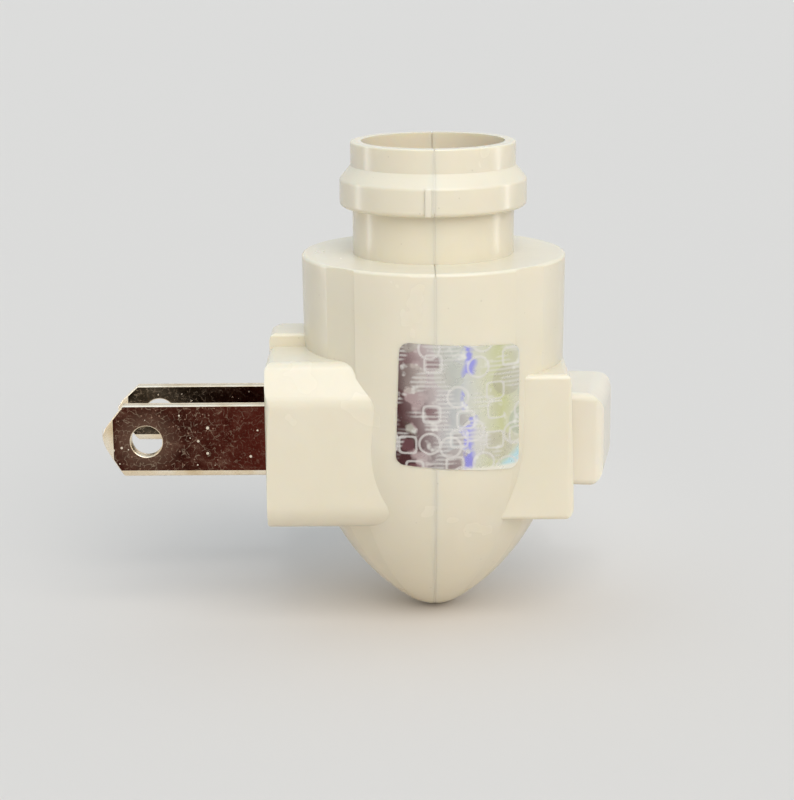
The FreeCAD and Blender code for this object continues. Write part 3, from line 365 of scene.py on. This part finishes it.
for blade_name, face_metal in (("wide_blade", wide_face_painted_reflection), ("narrow_blade", narrow_face_painted_shade)):
    low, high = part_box(blade_name)
    y_mid = (low.y + high.y) / 2
    half_thick = (high.y - low.y) / 2
    half_height = high.z - shoulder_step
    blade = add_box(blade_name + "_strip", (blade_tip_x, low.y, -half_height),
                    (inner_x, high.y, half_height))
    for side, tip_z in ((-1, tip_low_z), (1, tip_top_z)):
        slant = (taper_x - blade_tip_x, half_height - side * tip_z)
        cut_away((taper_x, 0, side * half_height), (-slant[1], 0, side * slant[0]))
    select_edges(blade, lambda a, b: max(a.x, b.x) < blade_tip_x + nudge and abs(a.z - b.z) < nudge)
    bpy.ops.mesh.bevel(offset=tip_corner_radius, segments=6, affect="EDGES")
    bpy.ops.object.mode_set(mode="OBJECT")
    for side in (-1, 1):
        slope = (coin_x - blade_tip_x, half_thick - coin_half)
        cut_away((coin_x, y_mid + side * half_thick, 0), (-slope[1], side * slope[0], 0))
    select_edges(blade, lambda a, b: max(a.z, b.z) < nudge - half_height and abs(a.x - b.x) > shoulder_step)
    bpy.ops.mesh.bevel(offset=fold_radius, segments=8, profile=0.62, affect="EDGES")
    bpy.ops.object.mode_set(mode="OBJECT")
    bpy.ops.mesh.primitive_cylinder_add(vertices=64, radius=hole_radius, depth=4 * half_thick,
                                        location=(-hole_from_wall, y_mid, 0), rotation=(math.pi / 2, 0, 0))
    subtract(blade, bpy.context.object)
    tail = add_box(blade_name + "_tail", (inner_x, low.y, -tail_half), (tail_x, high.y, tail_half))
    bpy.ops.mesh.primitive_cylinder_add(vertices=32, radius=rivet_hole_radius, depth=4 * half_thick,
                                        location=(rivet_from_wall, y_mid, 0), rotation=(math.pi / 2, 0, 0))
    subtract(tail, bpy.context.object)
    shoulder = half_height + shoulder_step
    shoulders = add_box(blade_name + "_shoulders", (inner_x - nudge, low.y, -shoulder),
                        (shoulder_x, high.y, shoulder))
    for part in (tail, shoulders):
        union = blade.modifiers.new("joined", "BOOLEAN")
        union.operation = "UNION"
        union.solver = "EXACT"
        union.object = part
        bpy.ops.object.select_all(action="DESELECT")
        blade.select_set(True)
        bpy.context.view_layer.objects.active = blade
        bpy.ops.object.modifier_apply(modifier="joined")
        bpy.data.objects.remove(part)
    easing = blade.modifiers.new("eased", "BEVEL")
    easing.width = edge_easing
    easing.segments = 3
    easing.limit_method = "ANGLE"
    easing.angle_limit = math.radians(40)
    easing.use_clamp_overlap = False
    bpy.ops.object.modifier_apply(modifier="eased")
    # Where the easing overshoots at the coined tip, it is brought back to the tip's end.
    for vertex in blade.data.vertices:
        vertex.co.x = max(vertex.co.x, blade_tip_x)
    subtract(blade, add_box("slit", (coin_x, y_mid - leaf_gap / 2, half_height - slit_depth),
                            (inner_x / 2, y_mid + leaf_gap / 2, half_height + slit_depth)))
    bpy.ops.object.shade_smooth_by_angle(angle=math.radians(35))
    # The wide blade's far leaf top takes the painted shade, the narrow blade's the painted highlight.
    far_leaf_metal = far_leaf_edge_painted_shade if blade_name == "wide_blade" else edge_painted_highlight
    for metal in (face_metal, edge_painted_highlight, far_leaf_metal):
        blade.data.materials.append(metal)
    for polygon in blade.data.polygons:
        flat = abs(polygon.normal.y) > 0.995 and polygon.center.z > fold_radius - half_height
        on_far_leaf = polygon.normal.z > 0.5 and polygon.center.y > y_mid
        polygon.material_index = 0 if flat else 2 if on_far_leaf else 1
    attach(blade, "casing")
    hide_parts(blade_name)
    bpy.ops.object.select_all(action="DESELECT")


# The weld line: plastic squeezed into the seam between the two halves, just below their surface.
# It runs down the rim, the collar, the neck, the column and the nose, and stops short of the edges.
seam_x = 0.0183
weld_half_width = 0.00006
weld_outer_depth = 0.00003
weld_inner_depth = 0.00014
rim_z = 0.02951
rim_radius = 0.0091
chamfer_z = 0.02802
collar_z = 0.02503
neck_z = 0.01981
neck_radius = 0.00892
column_z = 0.0014
column_radius = 0.0144
column_draft = 0.00022 / (neck_z - column_z)
nose_arc_radius = 0.026324
tip_radius = 0.0056
tip_centre_z = -0.01555
tip_start_z = -0.02013

# Each stretch: where it begins and ends, and in how many pieces it follows the surface.
weld_stretches = ((-0.02106, column_z, 28), (column_z, 0.01946, 2), (0.01985, 0.0250, 2),
                  (0.02553, chamfer_z, 2), (chamfer_z, rim_z, 2), (rim_z, 0.03195, 2))


def radius_at(z):
    """The moulded body's radius at a height, on the seam."""
    if z >= rim_z - nudge:
        return rim_radius
    if z > chamfer_z:
        share = (z - chamfer_z) / (rim_z - chamfer_z)
        return collar_radius + share * (rim_radius - collar_radius)
    if z >= collar_z:
        return collar_radius
    if z >= neck_z:
        return neck_radius
    if z >= column_z:
        return column_radius + column_draft * (z - column_z)
    if z > tip_start_z:
        return column_radius - nose_arc_radius + math.sqrt(nose_arc_radius ** 2 - (column_z - z) ** 2)
    return math.sqrt(tip_radius ** 2 - (tip_centre_z - z) ** 2)


welds = []
for side in (-1, 1):
    depths = (weld_outer_depth, weld_inner_depth)[::-side]
    for bottom, top, pieces in weld_stretches:
        weld = add_box("weld_line", (seam_x - weld_half_width, 0, bottom),
                       (seam_x + weld_half_width, weld_inner_depth, top))
        select_edges(weld, lambda a, b: abs(a.z - b.z) > nudge)
        bpy.ops.mesh.subdivide(number_cuts=pieces - 1)
        bpy.ops.object.mode_set(mode="OBJECT")
        for vertex in weld.data.vertices:
            depth = depths[0] if vertex.co.y < nudge else depths[1]
            vertex.co.y = side * (radius_at(vertex.co.z) - depth)
        welds.append(weld)
bpy.ops.object.select_all(action="DESELECT")
for weld in welds:
    weld.select_set(True)
bpy.context.view_layer.objects.active = welds[0]
bpy.ops.object.join()
welds[0].name = "weld_line"
welds[0].data.materials.append(thin_urea)
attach(welds[0], "casing")
bpy.ops.object.select_all(action="DESELECT")


# Fibre plate that slides over both blade tails and is held by two heat-staked posts.
# Grey-brown vulcanised fibre, stamped from sheet, with a dry papery face.
def pressed_fibre(name, dark, light, fibre_size, roughness):
    """Pressed fibre or mineral-filled resin: mottled, slightly felted, with little sheen."""
    board = new_material(name)
    place = add(board, "ShaderNodeTexCoord")
    felt = add(board, "ShaderNodeTexNoise",
               {"Scale": per_metre(fibre_size), "Detail": 6.0, "Roughness": 0.65},
               {"Vector": (place, "Object")})
    tint = add(board, "ShaderNodeValToRGB", {}, {"Fac": (felt, "Fac")})
    set_ramp(tint, [(0.32, dark), (0.68, light)])
    gloss = add(board, "ShaderNodeMapRange", {"To Min": roughness - 0.08, "To Max": roughness + 0.08},
                {"Value": (felt, "Fac")})
    bump = add(board, "ShaderNodeBump", {"Strength": 0.3, "Distance": 0.00005}, {"Height": (felt, "Fac")})
    shader = add(board, "ShaderNodeBsdfPrincipled", {"IOR": 1.48},
                 {"Base Color": (tint, "Color"), "Roughness": (gloss, "Result"),
                  "Normal": (bump, "Normal")})
    add(board, "ShaderNodeOutputMaterial", {}, {"Surface": (shader, "BSDF")})
    return board


# Vulcanised fibre: grey-brown, fine felted mottle, matt.
vulcanised_fibre = pressed_fibre("vulcanised_fibre", "7E7060", "A39480", 0.5, 0.62)
dress(("blade_retainer",), vulcanised_fibre)


# Two brass straps that carry the current, one to the screw shell and one to the switch. The live
# one is bent up into the two ears that the see-saw contact rocks on. Stamped from half-hard strip.
strip_brass = rolled_metal("half_hard_brass_strip", "B48A48", "CFA95F", "DEBE7C", 0.30, (1.0, 1.0, 0.1))
dress(("neutral_strap", "live_strap", "fixed_terminal", "seesaw_contact"), strip_brass)


# Four rivets hold blades, straps and contacts together. Soft brass wire, headed cold in a press,
# which leaves the heads a little brighter than the strip.
headed_brass = rolled_metal("cold_headed_brass", "C09850", "DBBA72", "E9D090", 0.22, (1.0, 1.0, 1.0))
dress(("neutral_blade_rivet", "live_blade_rivet", "neutral_shell_rivet", "centre_contact_rivet"),
      headed_brass)


# The screw shell that the lamp turns into, deep-drawn from thin brass with a rolled thread. Its
# flange rests in the recess below the rim, and its floor is open for the centre contact.
thread_bore_radius = 0.0057
thread_depth = 0.00035
thread_pitch = 0.00254
thread_turns = 4
sheet = 0.00035
floor_hole_radius = 0.0034
rivet_hole = 0.0005
shell_steps = 96
shell_rings = 58

# Deep-drawn brass: bright, with fine rings round the axis from the drawing die.
drawn_brass = rolled_metal("deep_drawn_brass", "C39A52", "DDBA70", "EDD496", 0.18, (1.0, 1.0, 0.12))
low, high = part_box("screw_shell")
axis_x = (low.x + high.x) / 2
ledge_z = high.z - sheet
tube_radius = thread_bore_radius + sheet
bpy.ops.mesh.primitive_cylinder_add(vertices=shell_steps, radius=tube_radius, depth=ledge_z - low.z,
                                    end_fill_type="NOTHING", location=(axis_x, 0, (ledge_z + low.z) / 2))
screw = bpy.context.object
screw.name = "threaded_shell"
bpy.ops.object.transform_apply(location=True, rotation=True, scale=True)
select_edges(screw, lambda a, b: abs(a.z - b.z) > nudge)
bpy.ops.mesh.subdivide(number_cuts=shell_rings)
bpy.ops.object.mode_set(mode="OBJECT")
thread_length = thread_turns * thread_pitch
thread_start = (low.z + ledge_z - thread_length) / 2
for vertex in screw.data.vertices:
    around = math.atan2(vertex.co.y, vertex.co.x - axis_x)
    rise = vertex.co.z - thread_start
    run_in = min(max(min(rise, thread_length - rise) / (thread_pitch / 2), 0), 1)
    swell = thread_depth * run_in * (0.5 - 0.5 * math.cos(2 * math.pi * rise / thread_pitch - around))
    vertex.co.x += swell * math.cos(around)
    vertex.co.y += swell * math.sin(around)
for end_z, end_radius in ((ledge_z, high.x - axis_x), (low.z, floor_hole_radius)):
    select_edges(screw, lambda a, b: abs(a.z - end_z) + abs(b.z - end_z) < nudge)
    bpy.ops.mesh.extrude_edges_move()
    grow = end_radius / tube_radius
    bpy.ops.transform.resize(value=(grow, grow, 1), center_override=(axis_x, 0, end_z))
    bpy.ops.object.mode_set(mode="OBJECT")
wall = screw.modifiers.new("drawn_sheet", "SOLIDIFY")
wall.thickness = sheet
wall.offset = -1
wall.use_even_offset = True
bpy.ops.object.modifier_apply(modifier="drawn_sheet")
bpy.ops.mesh.primitive_cylinder_add(vertices=24, radius=rivet_hole, depth=4 * sheet,
                                    location=(axis_x, -(floor_hole_radius + thread_bore_radius) / 2, low.z))
subtract(screw, bpy.context.object)
bpy.ops.object.shade_smooth_by_angle(angle=math.radians(40))
screw.data.materials.append(drawn_brass)
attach(screw, "casing")
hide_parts("screw_shell")
bpy.ops.object.select_all(action="DESELECT")


# The disc below the screw shell keeps the centre contact off it. Stamped from the same fibre.
dress(("socket_insulator",), vulcanised_fibre)


# The centre contact, a phosphor bronze leaf folded back over itself, pushed down by the lamp's tip.
# Spring bronze is redder than brass and keeps a smooth rolled face.
spring_bronze = rolled_metal("phosphor_bronze_leaf", "A87444", "C48E5A", "D8A874", 0.24, (0.1, 1.0, 1.0))
dress(("centre_contact",), spring_bronze)


# The moulded base behind the switch, which both terminals lie on. Dark phenolic resin.
phenolic = pressed_fibre("moulded_phenolic", "22160F", "38261B", 0.8, 0.42)
dress(("switch_base",), phenolic)


# Two contact buttons, fine silver, coined to a slight crown and riveted to terminal and see-saw.
fine_silver = rolled_metal("fine_silver", "BDBBB6", "D9D7D2", "EDECE8", 0.26, (1.0, 1.0, 1.0))
dress(("fixed_contact_button", "moving_contact_button"), fine_silver)


# The plunger in the rocker's stem and the spring behind it. Nylon turned smooth by rubbing on the
# brass, and bright music wire.
white_nylon = moulded("natural_nylon", "DEDACD", "E6E2D6", "ECE9DF", 0.38, 0.35)
dress(("plunger",), white_nylon)
music_wire = rolled_metal("music_wire", "8C8E90", "A9ABAD", "C4C6C8", 0.22, (1.0, 1.0, 1.0))
dress(("plunger_spring",), music_wire)


# The rocker, moulded in the same plastic as the body but a touch paler, from a separate mould.
# It turns on two moulded trunnions held between the front shell's cheeks.
rocker_urea = moulded("rocker_urea", "E5DCC9", "E8DFCD", "EBE3D1", 0.24, 0.35)
dress(("rocker",), rocker_urea)


# The foil label, bent round the front panel over the seam. Self-adhesive holographic polyester
# foil embossed with a fine generic pattern, tinted by the room it mirrors.
def holographic_foil(low, high):
    """Embossed diffraction foil: mauve to yellow-green, with ghost discs, rings, squares and lines."""
    disc_pitch, square_pitch, ring_pitch, line_pitch = 4.6, 2.9, 3.7, 0.24
    ripple_size, blotch_size, patch_size, crease_size = 3.2, 2.6, 3.4, 1.3
    foil = new_material("holographic_foil")
    width, height = high.x - low.x, high.z - low.z
    place = add(foil, "ShaderNodeTexCoord")
    flat = add(foil, "ShaderNodeMapping", {"Rotation": (math.pi / 2, 0.0, 0.0), "Scale": (1.0, 0.0, 1.0)},
               {"Vector": (place, "Object")})
    spread = add(foil, "ShaderNodeMapping",
                 {"Location": (-low.x / width, 0.0, -low.z / height),
                  "Scale": (1 / width, 0.0, 1 / height)},
                 {"Vector": (place, "Object")})
    ripple = add(foil, "ShaderNodeTexNoise", {"Scale": per_metre(ripple_size), "Detail": 2.0},
                 {"Vector": (flat, "Vector")})
    moved = add(foil, "ShaderNodeMix", {"Factor": 0.14}, {"A": (spread, "Vector"), "B": (ripple, "Color")},
                data_type="VECTOR")
    split = add(foil, "ShaderNodeSeparateXYZ", {}, {"Vector": (moved, "Result")})
    still = add(foil, "ShaderNodeSeparateXYZ", {}, {"Vector": (spread, "Vector")})
    across = add(foil, "ShaderNodeValToRGB", {}, {"Fac": (split, "X")})
    set_ramp(across, [(0.06, "A08180"), (0.20, "B9A2A0"), (0.36, "CBC0BD"), (0.46, "C6C6C4"),
                      (0.54, "D8D8D2"), (0.66, "E0DEC8"), (0.80, "D5D5A4"), (0.90, "DEDCC4")])

    # Left side: maroon where the foil mirrors the dark room, broken up by its crumple.
    blotch = add(foil, "ShaderNodeTexNoise", {"Scale": per_metre(blotch_size), "Detail": 3.0},
                 {"Vector": (flat, "Vector")})
    blotched = add(foil, "ShaderNodeMapRange", {"From Min": 0.43, "From Max": 0.50},
                   {"Value": (blotch, "Fac")})
    slant = add(foil, "ShaderNodeMath", {1: 0.35}, {0: (split, "Z"), 2: (split, "X")},
                operation="MULTIPLY_ADD")
    leftness = add(foil, "ShaderNodeMapRange",
                   {"From Min": 0.56, "From Max": 0.26, "To Min": 0.0, "To Max": 0.95},
                   {"Value": (slant, "Value")})
    maroon = add(foil, "ShaderNodeMath", {}, {0: (blotched, "Result"), 1: (leftness, "Result")},
                 operation="MULTIPLY")

    # Ghost discs, each with a tint of its own.
    discs = add(foil, "ShaderNodeTexVoronoi", {"Scale": per_metre(disc_pitch), "Randomness": 0.9},
                {"Vector": (flat, "Vector")}, voronoi_dimensions="2D")
    disc_chance = add(foil, "ShaderNodeSeparateColor", {}, {"Color": (discs, "Color")})
    disc_tint = add(foil, "ShaderNodeValToRGB", {}, {"Fac": (disc_chance, "Red")})
    set_ramp(disc_tint, [(0.15, "B4BFA8"), (0.40, "D8D6C8"), (0.62, "AC8C8A"), (0.80, "C4CDB2"),
                         (0.95, "E0DADC")])
    disc = add(foil, "ShaderNodeMapRange",
               {"From Min": 0.34, "From Max": 0.37, "To Min": 0.50, "To Max": 0.0},
               {"Value": (discs, "Distance")})

    # Broken streaks of pure violet right of the middle, and a cyan corner at the lower right.
    off_middle = add(foil, "ShaderNodeMath", {1: 0.57}, {0: (split, "X")}, operation="SUBTRACT")
    middle_reach = add(foil, "ShaderNodeMath", {}, {0: (off_middle, "Value")}, operation="ABSOLUTE")
    in_middle = add(foil, "ShaderNodeMapRange",
                    {"From Min": 0.02, "From Max": 0.06, "To Min": 0.75, "To Max": 0.0},
                    {"Value": (middle_reach, "Value")})
    streaked = add(foil, "ShaderNodeMapRange", {"From Min": 0.50, "From Max": 0.56},
                   {"Value": (blotch, "Fac")})
    violet = add(foil, "ShaderNodeMath", {}, {0: (streaked, "Result"), 1: (in_middle, "Result")},
                 operation="MULTIPLY")
    corner = add(foil, "ShaderNodeMath", {1: -1.0}, {0: (split, "Z"), 2: (split, "X")},
                 operation="MULTIPLY_ADD")
    low_right = add(foil, "ShaderNodeMapRange",
                    {"From Min": 0.68, "From Max": 0.76, "To Min": 0.0, "To Max": 0.9},
                    {"Value": (corner, "Value")})

    # Embossed figures: rounded squares, some of them filled, and rings. Some cells are left empty.
    squares = add(foil, "ShaderNodeTexVoronoi",
                  {"Scale": per_metre(square_pitch), "Randomness": 0.6, "Exponent": 5.0},
                  {"Vector": (flat, "Vector")}, voronoi_dimensions="2D", distance="MINKOWSKI")
    square_line = add(foil, "ShaderNodeValToRGB", {}, {"Fac": (squares, "Distance")})
    set_ramp(square_line, [(0.26, "000000"), (0.29, "FFFFFF"), (0.34, "FFFFFF"), (0.37, "000000")])
    square_chance = add(foil, "ShaderNodeSeparateColor", {}, {"Color": (squares, "Color")})
    square_there = add(foil, "ShaderNodeMapRange", {"From Min": 0.50, "From Max": 0.51},
                       {"Value": (square_chance, "Green")})
    square = add(foil, "ShaderNodeMath", {}, {0: (square_line, "Color"), 1: (square_there, "Result")},
                 operation="MULTIPLY")
    square_inside = add(foil, "ShaderNodeMapRange", {"From Min": 0.24, "From Max": 0.20, "To Max": 0.6},
                        {"Value": (squares, "Distance")})
    filled = add(foil, "ShaderNodeMath", {}, {0: (square_inside, "Result"), 1: (square_there, "Result")},
                 operation="MULTIPLY")
    fill_share = add(foil, "ShaderNodeMapRange",
                     {"From Min": 0.35, "From Max": 0.65, "To Min": 1.0, "To Max": 0.1},
                     {"Value": (split, "X")})
    filling = add(foil, "ShaderNodeMath", {}, {0: (filled, "Value"), 1: (fill_share, "Result")},
                  operation="MULTIPLY")
    rings = add(foil, "ShaderNodeTexVoronoi", {"Scale": per_metre(ring_pitch), "Randomness": 0.8},
                {"Vector": (flat, "Vector")}, voronoi_dimensions="2D")
    ring_line = add(foil, "ShaderNodeValToRGB", {}, {"Fac": (rings, "Distance")})
    set_ramp(ring_line, [(0.25, "000000"), (0.28, "FFFFFF"), (0.32, "FFFFFF"), (0.35, "000000")])
    ring_chance = add(foil, "ShaderNodeSeparateColor", {}, {"Color": (rings, "Color")})
    ring_there = add(foil, "ShaderNodeMapRange", {"From Min": 0.45, "From Max": 0.46},
                     {"Value": (ring_chance, "Blue")})
    ring = add(foil, "ShaderNodeMath", {}, {0: (ring_line, "Color"), 1: (ring_there, "Result")},
               operation="MULTIPLY")
    figures = add(foil, "ShaderNodeMath", {}, {0: (square, "Value"), 1: (ring, "Value")},
                  operation="MAXIMUM")
    figure = add(foil, "ShaderNodeMath", {1: 0.62}, {0: (figures, "Value")}, operation="MULTIPLY")

    # Fine ruled lines in patches, painted glints on the crumples and the bright lower border.
    lines = add(foil, "ShaderNodeTexWave",
                {"Scale": per_metre(line_pitch) / (2 * math.pi), "Distortion": 1.0, "Detail": 1.0},
                {"Vector": (flat, "Vector")}, bands_direction="Y")
    ruled = add(foil, "ShaderNodeTexNoise", {"Scale": per_metre(patch_size), "Detail": 1.0},
                {"Vector": (flat, "Vector")})
    ruled_patch = add(foil, "ShaderNodeMapRange", {"From Min": 0.50, "From Max": 0.56, "To Max": 0.55},
                      {"Value": (ruled, "Fac")})
    line = add(foil, "ShaderNodeMath", {}, {0: (lines, "Fac"), 1: (ruled_patch, "Result")},
               operation="MULTIPLY")
    crease = add(foil, "ShaderNodeTexNoise",
                 {"Scale": per_metre(crease_size), "Detail": 2.5, "Roughness": 0.55},
                 {"Vector": (place, "Object")})
    glint = add(foil, "ShaderNodeMapRange", {"From Min": 0.60, "From Max": 0.72, "To Max": 0.60},
                {"Value": (crease, "Fac")})
    border = add(foil, "ShaderNodeMapRange", {"From Min": 0.050, "From Max": 0.030, "To Max": 0.9},
                 {"Value": (still, "Z")})

    tinted = add(foil, "ShaderNodeMix", {}, {"Factor": (disc, "Result"), "A": (across, "Color"),
                                             "B": (disc_tint, "Color")}, data_type="RGBA")
    colour = (tinted, "Result")
    for mask, output, tint in ((maroon, "Value", "461A1B"), (low_right, "Result", "C6E9F0"),
                               (filling, "Value", "7C5256"), (violet, "Value", "8E8CF2"),
                               (line, "Value", "ECE8E2"), (figure, "Value", "EDE8E2"),
                               (glint, "Result", "FBF8F0"), (border, "Result", "FBF5E4")):
        layer = add(foil, "ShaderNodeMix", {"B": srgb(tint)}, {"Factor": (mask, output), "A": colour},
                    data_type="RGBA")
        colour = (layer, "Result")
    relief = add(foil, "ShaderNodeMath", {1: 0.5}, {0: (figures, "Value"), 2: (crease, "Fac")},
                 operation="MULTIPLY_ADD")
    bump = add(foil, "ShaderNodeBump", {"Strength": 0.3, "Distance": 0.00008},
               {"Height": (relief, "Value")})
    gloss = add(foil, "ShaderNodeMapRange", {"To Min": 0.18, "To Max": 0.40}, {"Value": (crease, "Fac")})
    shader = add(foil, "ShaderNodeBsdfPrincipled", {"Metallic": 0.6},
                 {"Base Color": colour, "Roughness": (gloss, "Result"), "Normal": (bump, "Normal")})
    add(foil, "ShaderNodeOutputMaterial", {}, {"Surface": (shader, "BSDF")})
    return foil


dress(("foil_label",), holographic_foil(*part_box("foil_label")))


# Floor, light and camera: a plain pale floor, soft daylight from the front and from overhead, a lamp
# over the holder's mouth, one on each side for the glints, and the photograph's own point of view.
floor_gap = 0.0002
bpy.ops.mesh.primitive_plane_add(size=12, location=(0, 0, cad_box[0][2] - floor_gap))
floor = bpy.context.object
floor.name = "floor"
floor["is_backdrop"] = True

# Plain pale paper, matt.
floor_paper = new_material("pale_floor_paper")
paper = add(floor_paper, "ShaderNodeBsdfPrincipled", {"Base Color": srgb("DED6CD"), "Roughness": 0.9})
add(floor_paper, "ShaderNodeOutputMaterial", {}, {"Surface": (paper, "BSDF")})
floor.data.materials.append(floor_paper)

# A pale sky, cooler overhead. It lights the piece a little less than it shows in reflections.
world = bpy.data.worlds.new("studio")
bpy.context.scene.world = world
world.use_nodes = True
world.node_tree.nodes.clear()
direction = add(world, "ShaderNodeTexCoord")
height = add(world, "ShaderNodeSeparateXYZ", {}, {"Vector": (direction, "Generated")})
sky = add(world, "ShaderNodeValToRGB", {}, {"Fac": (height, "Z")})
set_ramp(sky, [(0.0, "ECE4D8"), (0.7, "DDEEFF")])
rays = add(world, "ShaderNodeLightPath")
mirrored = add(world, "ShaderNodeMath", {}, {0: (rays, "Is Camera Ray"), 1: (rays, "Is Glossy Ray")},
               operation="MAXIMUM")
seen = add(world, "ShaderNodeMath", {}, {0: (mirrored, "Value"), 1: (rays, "Is Transmission Ray")},
           operation="MAXIMUM")
strength = add(world, "ShaderNodeMapRange", {"To Min": 0.70, "To Max": 1.0}, {"Value": (seen, "Value")})
studio = add(world, "ShaderNodeBackground", {}, {"Color": (sky, "Color"), "Strength": (strength, "Result")})
add(world, "ShaderNodeOutputWorld", {}, {"Surface": (studio, "Background")})


def aim(lamp, place, target):
    """Turns a lamp at a place towards a target."""
    lamp.rotation_euler = (Vector(target) - Vector(place)).to_track_quat("-Z", "Y").to_euler()


for name, place, power, spread_angle, colour in (
        ("front_daylight", (0.22, -0.55, 0.52), 1.65, 50, "FFFEFC"),
        ("overhead_daylight", (-0.15, 0.10, 1.00), 0.37, 80, "E4F0FF")):
    bpy.ops.object.light_add(type="SUN", location=place)
    daylight = bpy.context.object
    daylight.name = name
    daylight.data.energy = power
    daylight.data.angle = math.radians(spread_angle)
    daylight.data.color = srgb(colour)[:3]
    aim(daylight, place, (0, 0, 0))

bpy.ops.object.light_add(type="SPOT", location=(seam_x, -0.15, 0.30))
holder_lamp = bpy.context.object
holder_lamp.name = "holder_lamp"
holder_lamp.data.energy = 1.6
holder_lamp.data.color = srgb("E8F2FF")[:3]
holder_lamp.data.shadow_soft_size = 0.03
holder_lamp.data.spot_size = math.radians(5.5)
holder_lamp.data.spot_blend = 0.9
aim(holder_lamp, holder_lamp.location, (seam_x, 0.003, 0.031))

middle = (seam_x, 0, 0.01)
for name, place, size, power in (("left_strip", (-0.11, 0.026, 0.02), (0.008, 0.12), 0.03),
                                 ("right_strip", (0.15, 0.020, 0.02), (0.008, 0.12), 0.03)):
    bpy.ops.object.light_add(type="AREA", location=place)
    strip = bpy.context.object
    strip.name = name
    strip.data.shape = "RECTANGLE"
    strip.data.size, strip.data.size_y = size
    strip.data.energy = power
    strip.visible_camera = False
    strip.visible_diffuse = False
    aim(strip, place, middle)

# The camera's place, turn and focal length were fitted to the photograph, the last in its pixels.
focal_pixels, photo_pixels, film_width = 1993.66, 800, 36
bpy.ops.object.camera_add(location=(0.0150358, -0.219088, 0.0566405))
camera = bpy.context.object
camera.rotation_euler = (math.radians(76.19131), math.radians(0.43399), math.radians(0.12825))
camera.data.lens = focal_pixels * film_width / photo_pixels
camera.data.sensor_width = film_width
camera.data.clip_start = 0.01
bpy.context.scene.camera = camera

bpy.context.scene.view_settings.view_transform = "Standard"

size = {"cad": [list(v) for v in cad_box], "visual": [list(v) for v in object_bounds()]}
